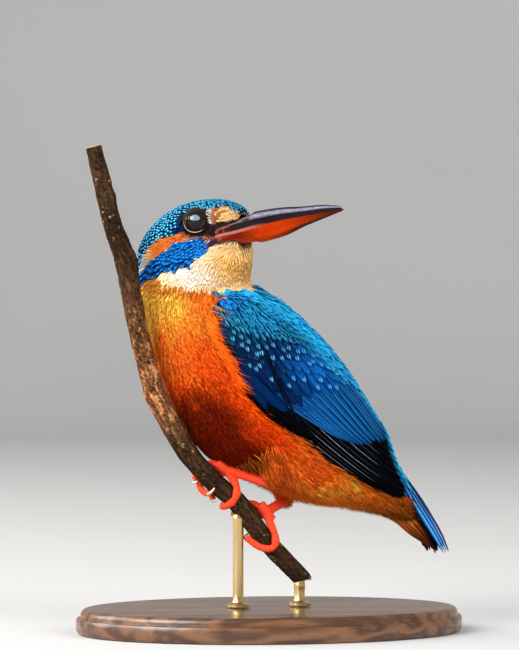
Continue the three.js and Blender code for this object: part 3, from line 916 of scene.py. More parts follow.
def rolled(ahead, normals, roll):
    """Side and up vectors of feathers that run ahead over a surface, turned about their own length."""
    side = unit(np.cross(ahead, normals))
    up = np.cross(side, ahead)
    roll = np.broadcast_to(roll, len(ahead)).reshape(-1, 1, 1)
    return side * np.cos(roll) + up * np.sin(roll), up * np.cos(roll) - side * np.sin(roll)


def laid(roots, zones, length, shares, sink, lift, stray, seed, roll):
    """Centre lines of feathers that follow the outline from their roots, with their side and up vectors."""
    surface = outline()
    rng = np.random.default_rng(seed)
    spot, normal = surface.nearest(roots)
    spots, normals = [spot], [normal]
    turn = rng.normal(0, 1, (len(roots), 1)) * stray
    for before, after in zip(shares[:-1], shares[1:]):
        heading = lie(spots[-1], zones)
        heading = heading + turn * np.cross(normals[-1], heading)
        heading = unit(heading - normals[-1] * (heading * normals[-1]).sum(1, keepdims=True))
        spot, normal = surface.nearest(spots[-1] + heading * (length * (after - before))[:, None])
        spots.append(spot)
        normals.append(unit(normal + normals[-1]))
    spots, normals = np.stack(spots, 1), np.stack(normals, 1)
    share = np.array(shares)
    rise = -np.broadcast_to(sink, len(roots))[:, None] * (1 - share) ** 1.5
    rise = rise + np.broadcast_to(lift, len(roots))[:, None] * share**2
    centre = spots + normals * rise[..., None]
    ahead = unit(np.gradient(centre, axis=1))
    return centre, *rolled(ahead, normals, roll)


def tinted(colour, shares, root_shade, spread, rng):
    """Each feather's colour along its length, darker under its neighbours, with its own small difference."""
    own = np.exp(rng.normal(0, spread, (len(colour), 1, 1)))
    shade = root_shade + (1 - root_shade) * np.minimum(np.array(shares) / 0.45, 1)
    return np.clip(colour[:, None] * own * shade[None, :, None], 0, 1)


def coat(name, roots, zones, length, half, *, cut=TUFT, sink=0.6, lift=0.2, thick=0.1, stray=0.1,
         root_shade=0.55, spread=0.12, signs=(0, 0, 0), tone=None, roll=0.0, seed=1):
    """Small feathers that lie along the body from their roots."""
    rng = np.random.default_rng(seed)
    count = len(roots)
    length = length * rng.uniform(0.85, 1.15, count)
    half = half * rng.uniform(0.85, 1.15, count)
    lift = lift * rng.uniform(0.5, 1.5, count)
    centre, side, up = laid(roots, zones, length, cut[0], sink, lift, stray, seed, roll)
    colour = plumage(roots, zones) if tone is None else tone
    tint = tinted(colour, cut[0], root_shade, spread, rng)
    signs = np.broadcast_to(np.array(signs, float), (count, 3)) * rng.uniform(0.75, 1.0, (count, 1))
    return feather_mesh(name, cut, centre, side, up, half, thick, tint, signs)


def quills(name, surface, paths, half, high, sunk, tint, signs, *, thick=0.2, roll=0.0):
    """Long feathers of the wing or tail, along given lines over a surface. High is how far above it they lie,
    and sunk is how much lower their roots start."""
    share = np.array(LONG[0])
    lines = np.array([spline(path, LINE_STEPS + 1) for path in paths])
    lines = lines[:, np.round(share * LINE_STEPS).astype(int)]
    flat, normal = surface.nearest(lines.reshape(-1, 3))
    spots, normals = flat.reshape(lines.shape), normal.reshape(lines.shape)
    fall = (1 - np.minimum(share / 0.4, 1)) ** 1.3
    rise = np.asarray(high, float).reshape(-1, 1) - sunk * fall
    centre = spots + normals * rise[..., None]
    ahead = unit(np.gradient(centre, axis=1))
    side, up = rolled(ahead, normals, roll)
    return feather_mesh(name, LONG, centre, side, up, half, thick, tint, signs)

# ---------------------------------------------------------------- materials


class Nodes:
    """A short way to write a material's nodes."""

    def __init__(self, name):
        self.material = bpy.data.materials.new(name)
        self.material.use_nodes = True
        self.tree = self.material.node_tree
        self.shader = self.tree.nodes["Principled BSDF"]

    def add(self, kind, **settings):
        node = self.tree.nodes.new("ShaderNode" + kind)
        for key, value in settings.items():
            setattr(node, key, value)
        return node

    def link(self, source, target):
        self.tree.links.new(source, target)

    def feed(self, socket, value):
        if isinstance(value, bpy.types.NodeSocket):
            self.link(value, socket)
        elif value is not None:
            socket.default_value = value

    def math(self, operation, a, b=None):
        node = self.add("Math", operation=operation)
        for socket, value in zip(node.inputs, (a, b)):
            self.feed(socket, value)
        return node.outputs[0]

    def plus(self, a, b):
        return self.math("ADD", a, b)

    def minus(self, a, b):
        return self.math("SUBTRACT", a, b)

    def times(self, a, b):
        return self.math("MULTIPLY", a, b)

    def stretch(self, place, by):
        node = self.add("VectorMath", operation="MULTIPLY")
        self.link(place, node.inputs[0])
        node.inputs[1].default_value = by
        return node.outputs[0]

    def mix(self, share, a, b, mode="MIX"):
        node = self.add("Mix", data_type="RGBA", blend_type=mode)
        for index, value in ((0, share), (6, rgba(a)), (7, rgba(b))):
            self.feed(node.inputs[index], value)
        return node.outputs[2]

    def shade(self, base, by):
        return self.mix(1.0, base, by, "MULTIPLY")

    def noise(self, place, scale, detail=3, rough=0.55):
        node = self.add("TexNoise")
        self.link(place, node.inputs["Vector"])
        for key, value in (("Scale", scale), ("Detail", detail), ("Roughness", rough)):
            node.inputs[key].default_value = value
        return node.outputs["Fac"]

    def range(self, value, low, high, to_low=0.0, to_high=1.0):
        node = self.add("MapRange")
        for socket, found in zip(node.inputs, (value, low, high, to_low, to_high)):
            self.feed(socket, found)
        return node.outputs[0]

    def attribute(self, name):
        return self.add("Attribute", attribute_name=name)

    def value(self, name):
        return self.attribute(name).outputs["Fac"]

    def tint(self):
        return self.attribute("tint").outputs["Color"]

    def parts(self, place):
        """The three numbers of a vector."""
        node = self.add("SeparateXYZ")
        self.link(place, node.inputs[0])
        return node.outputs

    def object_place(self):
        return self.add("TexCoord").outputs["Object"]

    def bump(self, height, strength, distance):
        node = self.add("Bump")
        node.inputs["Strength"].default_value = strength
        node.inputs["Distance"].default_value = distance
        self.link(height, node.inputs["Height"])
        self.link(node.outputs[0], self.shader.inputs["Normal"])

    def set(self, **sockets):
        for key, value in sockets.items():
            self.feed(self.shader.inputs[key.replace("_", " ").title().replace("Ior", "IOR")], value)
        return self.material


def rgba(colour):
    """A colour with its alpha, or the socket that gives it."""
    return colour if isinstance(colour, bpy.types.NodeSocket) else (*colour[:3], 1.0)


def wear(item, material):
    item.data.materials.clear()
    item.data.materials.append(material)


def vane_material(name, rough, sheen, tint, *, spot=(0.10, 0.50, 0.80), shaft=(0.10, 0.42, 0.66), shine=0.02,
                  dot=(0.55, 0.45, 0.32), parted=False, streak=0.0, contrast=0.2, shaft_width=0.05, trim=0.0,
                  trim_end=0.92, fade=0.4):
    """Feathers: barbs that slope from the shaft, with a tip spot, a pale shaft and a dark edge where the
    feather's own signs ask for them. The dot is how far it lies from the tip and its half length, both in
    millimetres, and its half width as a share of the vane. Trim is where a pale line runs beside the edge."""
    n = Nodes(name)
    uv = n.add("UVMap", uv_map="vane").outputs[0]
    lean = n.minus(n.parts(uv)[0], 0.5)
    across = n.math("ABSOLUTE", lean)
    over = n.parts(uv)[1]
    sign = n.add("SeparateColor")
    signs = n.attribute("signs")
    n.link(signs.outputs["Color"], sign.inputs[0])
    barb = n.math("SINE", n.times(n.minus(over, n.times(across, 0.9)), 95.0))
    fine = n.noise(n.object_place(), 1400.0, 2)
    shade = n.range(n.plus(n.times(barb, 0.25), fine), 0.1, 1.0, 1 - contrast, 1 + contrast)
    base = n.shade(n.tint(), shade)
    if streak:
        lines = n.math("SINE", n.plus(n.times(across, 62.0), n.times(fine, 5.0)))
        base = n.mix(n.times(n.range(lines, 0.35, 0.95), streak), base, spot)
    edge = n.times(n.range(across, 0.30, 0.47), sign.outputs[2])
    base = n.mix(edge, base, (0.0012, 0.003, 0.008))
    line = n.times(n.range(across, shaft_width * 1.5, shaft_width * 0.7), sign.outputs[1])
    base = n.mix(line, base, shaft)
    if trim:
        beside = n.math("ABSOLUTE", n.minus(across, trim))
        beside = n.times(n.range(beside, 0.022, 0.006), n.range(over, trim_end, trim_end - 0.16))
        base = n.mix(n.times(beside, sign.outputs[1]), base, spot)
    from_tip = n.times(n.minus(1.0, over), n.times(signs.outputs["Alpha"], 10.0))
    near = n.math("POWER", n.math("DIVIDE", n.minus(from_tip, dot[0]), dot[1]), 2.0)
    wide = n.math("POWER", n.math("DIVIDE", across, dot[2]), 2.0)
    disc = n.times(n.range(n.plus(near, wide), 1.0, fade), sign.outputs[0])
    if parted:
        strokes = n.math("SINE", n.plus(n.times(lean, 19.0), n.times(from_tip, 3.0)))
        disc = n.times(disc, n.range(strokes, -0.4, 0.5, 0.0, 1.0))
    base = n.mix(disc, base, spot)
    n.bump(n.plus(n.times(barb, 0.5), fine), 0.35, 0.00012)
    return n.set(base_color=base, roughness=rough, sheen_weight=sheen, sheen_roughness=0.45,
                 sheen_tint=rgba(tint), specular_ior_level=shine)


def skin_material():
    n = Nodes("down")
    soft = n.noise(n.object_place(), 900.0, 4)
    base = n.shade(n.tint(), n.range(soft, 0.25, 0.8, 0.45, 0.85))
    n.bump(soft, 0.5, 0.0004)
    return n.set(base_color=base, roughness=0.9, specular_ior_level=0.05)


def foot_material(colour):
    n = Nodes("scaly foot")
    place = n.object_place()
    blotch = n.noise(place, 260.0, 3)
    fine = n.noise(place, 2200.0, 3)
    base = n.mix(n.range(blotch, 0.35, 0.75), colour, (0.80, 0.070, 0.026))
    groove = n.value("groove")
    base = n.mix(n.times(groove, 0.55), base, (0.36, 0.015, 0.012))
    n.bump(fine, 0.25, 0.0001)
    return n.set(base_color=base, roughness=0.5, specular_ior_level=0.08)


def horn_material(name, colour, second, tip, tip_reach, outer, edge, edge_reach, rough):
    """A bill's horn: fine lengthwise grain, a second tone towards the face, another towards the tip, a lighter
    band of the outer colour along its side, on the upper half a painted sheen, and a dark edge along its ridge
    or keel."""
    n = Nodes(name)
    run = n.value("run")
    place = n.object_place()
    grained = n.noise(n.stretch(place, (900.0, 900.0, 4200.0)), 1.0, 4)
    base = n.mix(n.range(run, 0.34, 0.20), colour, second)
    rise = n.value("rise")
    # Painted sheen: on the upper half this band of the outer colour stands in for a pale reflection along the
    # side; on the lower half it is a brighter red.
    lighter_band = n.times(n.range(rise, 0.44, 0.62), n.range(grained, 0.35, 0.6, 0.5, 1.0))
    base = n.mix(lighter_band, base, outer)
    base = n.mix(n.times(n.range(rise, 0.70, 0.90), n.range(run, *edge_reach)), base, edge)
    base = n.mix(n.range(run, *tip_reach), base, tip)
    blotch = n.range(n.noise(place, 900.0, 3), 0.42, 0.58)
    base = n.mix(n.times(n.value("corner"), blotch), base, (0.26, 0.045, 0.025))
    base = n.mix(n.value("lip"), base, (0.62, 0.22, 0.18))
    base = n.shade(base, n.range(grained, 0.3, 0.7, 0.78, 1.12))
    pit = n.value("pit")
    base = n.mix(pit, base, (0.004, 0.003, 0.003))
    n.bump(grained, 0.14, 0.0001)
    return n.set(base_color=base, roughness=n.range(grained, 0.3, 0.7, rough - 0.05, rough + 0.08),
                 specular_ior_level=0.02)


def eye_material():
    n = Nodes("eye")
    gaze = n.value("gaze")
    place = n.object_place()
    flecks = n.noise(place, 1500.0, 4)
    iris = n.mix(n.range(flecks, 0.3, 0.7), (0.006, 0.0028, 0.0018), (0.017, 0.0075, 0.004))
    base = n.mix(n.range(gaze, 0.86, 0.885), iris, (0.0006, 0.0006, 0.0006))
    return n.set(base_color=base, roughness=0.03, ior=1.38)


def lid_material():
    n = Nodes("eyelid")
    place = n.object_place()
    pores = n.noise(place, 3000.0, 3)
    base = n.mix(n.range(pores, 0.35, 0.65), (0.006, 0.004, 0.004), (0.022, 0.014, 0.012))
    base = n.mix(n.value("rim"), base, (0.66, 0.56, 0.52))
    n.bump(pores, 0.4, 0.0001)
    return n.set(base_color=base, roughness=0.6, specular_ior_level=0.15)


def claw_material():
    n = Nodes("claw horn")
    run = n.value("run")
    grained = n.noise(n.object_place(), 1800.0, 3)
    base = n.mix(n.range(run, 0.0, 0.9), (0.30, 0.17, 0.09), (0.66, 0.55, 0.40))
    base = n.shade(base, n.range(grained, 0.3, 0.7, 0.8, 1.1))
    n.bump(grained, 0.1, 0.0001)
    return n.set(base_color=base, roughness=0.32)


def bark_material():
    n = Nodes("bark")
    place = n.object_place()
    ridge = n.value("ridge")
    cut = n.value("cut")
    cloud = n.noise(place, 110.0, 4)
    fine = n.noise(place, 1400.0, 5, 0.65)
    level = n.parts(place)[2]
    # Lighter bark in a band from about 50 to 98 mm up, fullest from 64 to 76 mm, on its ridges most of all.
    lighter_band = n.times(n.range(level, 0.098, 0.076), n.range(level, 0.050, 0.064))
    base = n.mix(n.range(cloud, 0.3, 0.7), (0.018, 0.009, 0.005), (0.062, 0.031, 0.014))
    base = n.mix(n.times(lighter_band, n.range(cloud, 0.25, 0.6, 0.4, 1.0)), base, (0.20, 0.078, 0.032))
    top = n.mix(lighter_band, (0.062, 0.036, 0.019), (0.62, 0.26, 0.10))
    base = n.mix(n.range(ridge, 0.50, 0.95), base, top)
    base = n.mix(n.range(ridge, 0.32, 0.0), base, (0.008, 0.005, 0.003))
    spots = n.add("TexVoronoi", feature="F1")
    spots.inputs["Scale"].default_value = 620.0
    n.link(place, spots.inputs["Vector"])
    rare = n.range(n.noise(place, 240.0, 2), 0.52, 0.64)
    fleck = n.times(n.range(spots.outputs["Distance"], 0.30, 0.12), rare)
    base = n.mix(n.times(fleck, 0.7), base, (0.46, 0.29, 0.14))
    base = n.shade(base, n.range(fine, 0.25, 0.75, 0.6, 1.3))
    rings = n.math("SINE", n.times(n.value("spread"), 30.0))
    wood = n.mix(n.range(rings, -1.0, 1.0), (0.52, 0.36, 0.20), (0.66, 0.50, 0.31))
    base = n.mix(cut, base, wood)
    n.bump(n.plus(fine, n.times(fleck, 0.6)), 0.7, 0.00035)
    return n.set(base_color=base, roughness=0.85, specular_ior_level=0.03)


def walnut_material(light, dark):
    n = Nodes("polished walnut")
    place = n.object_place()
    stretched = n.stretch(place, (9.0, 70.0, 70.0))
    sway = n.noise(stretched, 1.4, 4)
    figure = n.math("SINE", n.times(sway, 35.2))
    pores = n.noise(n.stretch(place, (260.0, 3800.0, 3800.0)), 1.0, 3)
    base = n.mix(n.range(figure, -1.0, 1.0), dark, light)
    base = n.mix(n.range(pores, 0.36, 0.28), base, (0.018, 0.008, 0.004))
    n.bump(pores, 0.08, 0.0001)
    rough = n.range(pores, 0.3, 0.6, 0.42, 0.30)
    return n.set(base_color=base, roughness=rough, coat_weight=0.3, coat_roughness=0.15)


def brass_material(colour):
    n = Nodes("brushed brass")
    brushed = n.noise(n.stretch(n.object_place(), (4000.0, 4000.0, 90.0)), 1.0, 3)
    base = n.mix(n.range(brushed, 0.3, 0.7), colour, (0.78, 0.60, 0.30))
    n.bump(brushed, 0.06, 0.0001)
    return n.set(base_color=base, metallic=1.0, roughness=n.range(brushed, 0.3, 0.7, 0.22, 0.38))


def plain_material(name, colour):
    n = Nodes(name)
    cloud = n.noise(n.object_place(), 3.0, 2)
    base = n.mix(n.range(cloud, 0.3, 0.7), colour, [c * 0.97 for c in colour])
    return n.set(base_color=base, roughness=0.9, specular_ior_level=0.1)

# ---------------------------------------------------------------- coat

HEAD_MIDDLE = (1.5, 0, -1.5)  # from which the rings of crown feathers are cast, in the head's frame
HEAD_REACH = 10.5  # about how far the outline lies from there
LID_WIDTH = 0.35  # of the bare ring round the open eye
FACE_START = 8.5  # place along the bill where the crown's rings of feathers give way to finer ones


def zone_map():
    """The zone of each triangle of the outline."""
    if "zones" not in made:
        made["zones"] = marks(outline().middle)
    return made["zones"]


def near_bill(head):
    """Whether places in the head's frame lie between the feather edges above and below the bill's base."""
    x, z = head[:, 0], head[:, 2]
    return (x > HORN_START - 0.1) & (z < along(FRINGE_TOP, x)) & (z > along(FRINGE_LOW, x))


def gaze_of(head):
    """How squarely each place in the head's frame lies before the eye on its side, and how far from it."""
    reach = head - eye_beside(head)
    axis = unit(np.array(EYE_AXIS)) * on_side(head)
    distance = np.linalg.norm(reach, axis=1)
    return (reach * axis).sum(1) / np.maximum(distance, 1e-6), distance


def bare(points):
    """Places that carry no feathers: the open eyes and the pocket that holds the bill."""
    head = SKULL.local(points)
    gaze, distance = gaze_of(head)
    rim = math.asin((EYE_OPENING + LID_WIDTH) / EYE_RADIUS)
    open_eye = (gaze > math.cos(rim)) & (distance < 6)
    return open_eye | near_bill(head)


def grown_over(zones, spacing, seed, where=None):
    """Roots spread over some zones, with the zone of each."""
    surface = outline()
    wanted = np.isin(zone_map(), zones)
    if where is not None:
        wanted &= where(surface.middle)
    roots, _ = surface.scatter(wanted, spacing, seed)
    roots = roots[~bare(roots)]
    found = marks(roots)
    return roots, np.where(np.isin(found, zones), found, zones[0])


def ringed_roots(row, pitch):
    """Roots in rings round the head, from the bill back to the nape."""
    rays = []
    for i, theta in enumerate(np.arange(0.25, 3.13, row / HEAD_REACH)):
        count = max(int(2 * math.pi * HEAD_REACH * math.sin(theta) / pitch), 3)
        turn = (np.arange(count) + 0.5 * (i % 2)) * 2 * math.pi / count
        wide = math.sin(theta)
        rays.append(np.stack([np.full(count, math.cos(theta)), wide * np.cos(turn), wide * np.sin(turn)], 1))
    rays = np.concatenate(rays) @ SKULL.rows
    start = np.broadcast_to(SKULL.world(HEAD_MIDDLE), rays.shape)
    hits = outline().struck(start, rays)
    hits = hits[~np.isnan(hits[:, 0])]
    hits = hits[SKULL.local(hits)[:, 0] < 22]
    return hits[~bare(hits)]


def cap_and_bands():
    """Spotted feathers of the crown and nape, and the blue bands below the cheeks."""
    def in_front(points):
        return SKULL.local(points)[:, 0] > FACE_START

    roots = ringed_roots(0.88, 0.80)
    more, _ = grown_over((CROWN, BAND), 0.60, 13, in_front)
    roots = np.concatenate([roots[~in_front(roots)], more])
    zones = marks(roots)
    pieces = []
    for name, wanted, seed in (("crown_feathers", CROWN, 11), ("cheek_bands", BAND, 12)):
        own = zones == wanted
        x = SKULL.local(roots[own])[:, 0]
        small = 1 - 0.36 * ease(8, 15, x)
        signs = (1.0, 0.0, 0.6) if wanted == CROWN else (0.85, 0.0, 0.35)
        pieces.append(coat(name, roots[own], zones[own], 2.3 * small, 0.52 * small, cut=ROUND, sink=0.4,
                           lift=0.14, thick=0.11, stray=0.07, root_shade=0.5, spread=0.2, signs=signs,
                           seed=seed))
    return pieces


def face_tufts():
    """Fine feathers of the lores, loral spots, ear patches and neck patches."""
    roots, zones = grown_over((LORE_SPOT, LORES, EAR, PATCH, CHEEK), 0.42, 21)
    behind = ease(8, -2, SKULL.local(roots)[:, 0])
    return coat("face_tufts", roots, zones, 1.1 + 1.5 * behind, 0.15 + 0.05 * behind, sink=0.25, lift=0.12,
                thick=0.07, stray=0.10, root_shade=0.7, spread=0.16, seed=22)


def throat_strands():
    """Smooth strands of the throat, short beside the bill and loose under the chin."""
    roots, zones = grown_over((THROAT,), 0.46, 31)
    head = SKULL.local(roots)
    chin = ease(14, 19, head[:, 0]) * ease(-14, -9, head[:, 2]) * ease(5, 3, np.abs(head[:, 1]))
    short = ease(9.5, 10.5, head[:, 0]) * ease(-7.4, -6.2, head[:, 2])
    return coat("throat_tufts", roots, zones, 3.8 - 0.6 * chin - 1.9 * short, 0.42 - 0.1 * short, sink=0.3,
                lift=(0.06 + 0.7 * chin) * (1 - short), thick=0.05, stray=0.06, root_shade=0.95, spread=0.04,
                seed=32)


def breast_and_belly(side, label):
    """Soft vanes of the breast, belly and thighs, under fine strands."""
    def own(points):
        return points[:, 1] * side > 0

    seed = 40 + side
    roots, zones = grown_over((BREAST, THIGH), 0.95, seed, own)
    base = coat(f"breast_vanes_{label}", roots, zones, 4.3, 0.72, sink=0.75, lift=0.06, thick=0.10,
                stray=0.12, root_shade=0.82, spread=0.09, seed=seed)
    roots, zones = grown_over((BREAST, THIGH), 0.6, seed + 5, own)
    own_shade = np.exp(np.random.default_rng(seed).normal(0, 0.2, (len(roots), 1)))
    tone = np.clip(plumage(roots, zones) * own_shade, 0, 1)
    fine = coat(f"breast_strands_{label}", roots, zones, 4.8, 0.14, cut=STRAND, sink=0.3, lift=0.22,
                thick=0.04, stray=0.16, root_shade=0.9, spread=0.08, tone=tone, seed=seed + 6)
    roots, zones = grown_over((BREAST, THIGH), 2.1, seed + 15, own)
    tone = np.clip(plumage(roots, zones) * (1.25, 1.6, 1.6) + (0.02, 0.006, 0.0), 0, 1)
    wisps = coat(f"breast_wisps_{label}", roots, zones, 6.4, 0.085, cut=STRAND, sink=0.2, lift=0.45,
                 thick=0.04, stray=0.2, root_shade=0.8, spread=0.12, tone=tone, seed=seed + 16)
    return base, fine, wisps


def vent_fluff():
    """Soft vanes of the vent, under loose strands."""
    def before(points, end):
        return SPINE.local(points)[:, 0] < end

    roots, zones = grown_over((VENT,), 0.62, 51, lambda points: ~faces_up(points) & before(points, 86.5))
    base = coat("vent_vanes", roots, zones, 6.0, 0.5, sink=0.7, lift=0.35, thick=0.14, stray=0.2,
                root_shade=0.6, spread=0.12, seed=52)
    roots, zones = grown_over((VENT, THIGH), 0.7, 53, lambda points: before(points, 86))
    tone = np.clip(blend(plumage(roots, zones), (1.0, 0.42, 0.05), 0.15), 0, 1)
    fluff = coat("vent_fluff", roots, zones, 6.2, 0.15, cut=STRAND, sink=0.2, lift=1.0, thick=0.06,
                 stray=0.34, root_shade=0.7, spread=0.2, tone=tone, seed=54)
    return base, fluff


def faces_up(points):
    """Which points lie on the upper side of the body, tail and folded wings."""
    return outline().nearest(points)[1] @ SPINE.z > 0.1 + 0.35 * ease(66, 74, SPINE.local(points)[:, 0])


def back_feathers():
    """Feathers of the mantle, rump and upper tail coverts, with bright streaks along their shafts."""
    roots, zones = grown_over((MANTLE,), 1.35, 61)
    mantle = coat("mantle_feathers", roots, zones, 4.6, 0.95, cut=ROUND, sink=0.7, lift=0.2, thick=0.16,
                  stray=0.08, root_shade=0.4, spread=0.16, signs=(0.25, 0.75, 0.6), seed=62)
    roots, zones = grown_over((RUMP,), 1.25, 63, faces_up)
    at, across, _ = SPINE.local(roots).T
    aside = np.abs(across) - 8.0 + 4.4 * ease(64, 75, at)
    keep = (at < 80 - 2.5 * ease(0, 2, aside)) & (aside < 4.4)
    roots, zones = roots[keep], zones[keep]
    length = 7.5 - 4.3 * ease(-0.5, 1.2, aside[keep])
    rump = coat("rump_feathers", roots, zones, length, 0.85, cut=ROUND, sink=0.6, lift=0.3, thick=0.16,
                stray=0.07, root_shade=0.5, spread=0.14, signs=(0.1, 0.6, 0.5), seed=64)
    return mantle, rump


# Rows of wing coverts: where the tips cross the wing's widest line, their spacing, length and half width, how
# far up the wing the row runs, and the share of tip spot, pale shaft and dark edge.
COVERT_ROWS = (
    (45, 3.2, 17.5, 1.95, 0.62, (0.0, 0.0, 0.4)),
    (40, 2.9, 14.0, 1.70, 0.62, (0.0, 0.0, 0.3)),
    (34.2, 2.6, 12.0, 1.50, 0.62, (1.0, 0.0, 0.2)),
    (29, 2.5, 9.5, 1.40, 0.60, (0.12, 0.0, 0.2)),
    (24.6, 2.5, 8.0, 1.40, 0.60, (0.9, 0.04, 0.2)),
    (20.6, 2.4, 7.0, 1.25, 0.60, (0.65, 0.15, 0.2)),
    (16.6, 1.8, 6.0, 1.00, 0.60, (0.25, 0.7, 0.2)),
    (13.2, 1.3, 5.0, 0.68, 0.60, (0.08, 1.0, 0.2)),
)
SHOULDER_ROW = 11.5  # where the spotted rows give way to fine streaked feathers
ROW_SLOPE = (24, 36)  # how far a row's tips shift along the spine below and above the widest line
SHINGLE = 0.13  # how far each wing feather is turned so that its lower edge lies over its neighbour


def row_start(at, tilt):
    """Where the row that crosses a place on the wing crosses the wing's widest line."""
    return at - tilt * np.where(tilt < 0, *ROW_SLOPE)


def covert_tips(start, spacing, length, top, side, rng):
    """Where the tips of one row of coverts lie."""
    tilt = np.linspace(-0.98, top, 400)
    at = start + tilt * np.where(tilt < 0, *ROW_SLOPE)
    body_up = SPINE.local(on_wing(np.maximum(at, 4.6), tilt, side))[:, 2]
    base = at - 0.85 * length
    kept = (base > 3) & (at < 60) & (body_up > along(WING_FRONT, np.maximum(base, 4)) + 0.5)
    tilt, at = tilt[kept], at[kept]
    line = on_wing(at, tilt, side)
    run = run_along(line)
    stops = np.arange(spacing * rng.uniform(0.2, 0.8), run[-1], spacing)
    stops = stops + rng.normal(0, 0.12, len(stops))
    return at_stops(line, run, stops)


def wing_coverts(side, label):
    """The rows of spotted and streaked coverts, as one piece."""
    rows = []
    for i, (start, spacing, length, half, top, signs) in enumerate(COVERT_ROWS):
        rng = np.random.default_rng(70 + i)
        tips = covert_tips(start, spacing, length, top, side, rng)
        zones = np.full(len(tips), WING_ZONE)
        roots, _ = outline().nearest(tips - lie(tips, zones) * length)
        rows.append(coat(f"coverts_{label}_{i}", roots, zones, length, half, cut=ROUND if i > 2 else LONG,
                         sink=0.5 + 0.05 * length, lift=0.34, thick=0.2, stray=0.02, root_shade=0.6,
                         spread=0.16, signs=signs, tone=plumage(tips, zones), roll=-side * SHINGLE,
                         seed=80 + i))
    return join(rows, f"wing_coverts_{label}")


def shoulder(side, label):
    """Small feathers of the shoulder, each with a fine bright streak."""
    def front(points):
        at, across, up = SPINE.local(points).T
        tilt = wing_tilt(at, up)
        return (across * side > 0) & (row_start(at, tilt) < SHOULDER_ROW) & (tilt < 0.7)

    roots, zones = grown_over((WING_ZONE,), 0.72, 93, front)
    return coat(f"shoulder_coverts_{label}", roots, zones, 3.0, 0.42, cut=ROUND, sink=0.6, lift=0.3,
                thick=0.10, stray=0.14, root_shade=0.7, spread=0.35, signs=(0.4, 0.75, 0.3), seed=94)


def scapulars(side, label):
    """Feathers that lie over the wing's upper edge."""
    def upper(points):
        at, across, up = SPINE.local(points).T
        return (across * side > 0) & (wing_tilt(at, up) > 0.5) & (at < 46)

    roots, zones = grown_over((WING_ZONE,), 1.15, 91, upper)
    return coat(f"scapulars_{label}", roots, zones, 5.0, 0.7, cut=ROUND, sink=0.6, lift=0.36, thick=0.14,
                stray=0.1, root_shade=0.6, spread=0.3, signs=(0.35, 1.0, 0.4), seed=92)


# Dark feathers that show between the coverts and the flight feathers: places on the wing (along the spine and
# up), half width and lift. The first two, thin and near-black, are painted shade along the gap between the
# coverts and the secondaries.
FOLDS = (
    (((23, 4.2), (27.1, 2.5), (33.3, 0.9), (38.7, -0.4), (46.8, -1.7)), 0.34, 0.66),
    (((24.5, 3.0), (28, 1.7), (33.3, 0.2), (38.7, -1.2), (46.8, -2.3)), 0.24, 0.62),
    (((20, -3.4), (28, -4.0), (38, -2.8), (46, -1.0)), 1.5, 0.34),
    (((21.5, -5.2), (30, -5.6), (40, -4.4), (48, -2.2)), 1.4, 0.32),
    (((25, -6.6), (32, -7.3), (42, -6.2)), 1.0, 0.42),
    (((29, -6.0), (36, -6.4), (46, -4.6)), 1.1, 0.46),
    (((32, -5.2), (39, -5.0), (49, -3.0)), 1.1, 0.50),
    (((35, -4.0), (41, -3.6), (51, -1.6)), 1.1, 0.54),
    (((37.5, -2.6), (44, -2.0), (53, -0.2)), 1.0, 0.58),
)
SECONDARIES = 14
PRIMARIES = 13
PRIMARY_BLACK = (0.0012, 0.0014, 0.002)


def flight_feathers(side, label):
    """Tertials and secondaries in one fan, and the long primaries and dark folds below them, of which the
    first two are strips of painted shade.
    """
    surface = outline()
    rng = np.random.default_rng(95)
    shares, roll = LONG[0], -side * SHINGLE

    def over_wing(spots):
        spots = np.array(spots, float)
        return on_wing(spots[:, 0], wing_tilt(spots[:, 0], spots[:, 1]), side)

    starts = spline([(33.5, -2.5), (36, 4), (40, 12), (42, 16.5)], SECONDARIES)
    ends = spline([(57.8, 5.9), (61.6, 8.6), (64.6, 12.6), (66.2, 15.9)], SECONDARIES)
    paths = [over_wing([blend(a, b, share) for share in np.linspace(0, 1, 5)]) for a, b in zip(starts, ends)]
    tone = blend((0.0015, 0.045, 0.18), (0.003, 0.085, 0.26), np.linspace(0, 1, SECONDARIES))
    tint = tinted(tone, shares, 0.5, 0.1, rng)
    high = np.linspace(0.40, 0.66, SECONDARIES)
    inner = quills(f"secondaries_{label}", surface, paths, 1.3, high, 1.1, tint, (0.0, 0.8, 1.0), roll=roll)

    starts = spline([(40, -5.2), (40.5, -2.4), (41, 1.0), (47, 7.5), (52, 13)], PRIMARIES)
    ends = ((68.8, 1.9), (75.4, 6.2), (81.6, 9.6), (81.0, 10.9), (77, 11.8), (72, 12.8), (66.4, 14.0))
    ends = spline(ends, PRIMARIES)
    paths = [over_wing([a, blend(a, b, 0.5) - (0, 0.5), b]) for a, b in zip(starts, ends)]
    index = np.arange(PRIMARIES)
    tint = tinted(np.tile(PRIMARY_BLACK, (PRIMARIES, 1)), shares, 0.8, 0.1, rng)
    signs = np.outer(ease(11, 9, index) * (1 - 0.85 * (index % 2)), (0.0, 1.0, 0.0))
    high = np.linspace(0.02, 0.40, PRIMARIES)
    outer = quills(f"primaries_{label}", surface, paths, 1.3, high, 0.7, tint, signs, roll=roll)

    tone = np.tile(PRIMARY_BLACK, (len(FOLDS), 1))
    # The first two folds are near-black strips of painted shade along the gap between the coverts and the
    # secondaries.
    tone[:4] = [(0.0015, 0.004, 0.010)] * 2 + [(0.001, 0.014, 0.065)] * 2
    lines, half, high = zip(*FOLDS)
    dark = quills(f"folds_{label}", surface, [over_wing(line) for line in lines], half, high, 0.6,
                  tinted(tone, shares, 0.8, 0.1, rng), (0.0, 0.0, 0.0), roll=roll)
    return inner, join([outer, dark], f"primaries_{label}")


FLANK_STRANDS = 420  # on each side


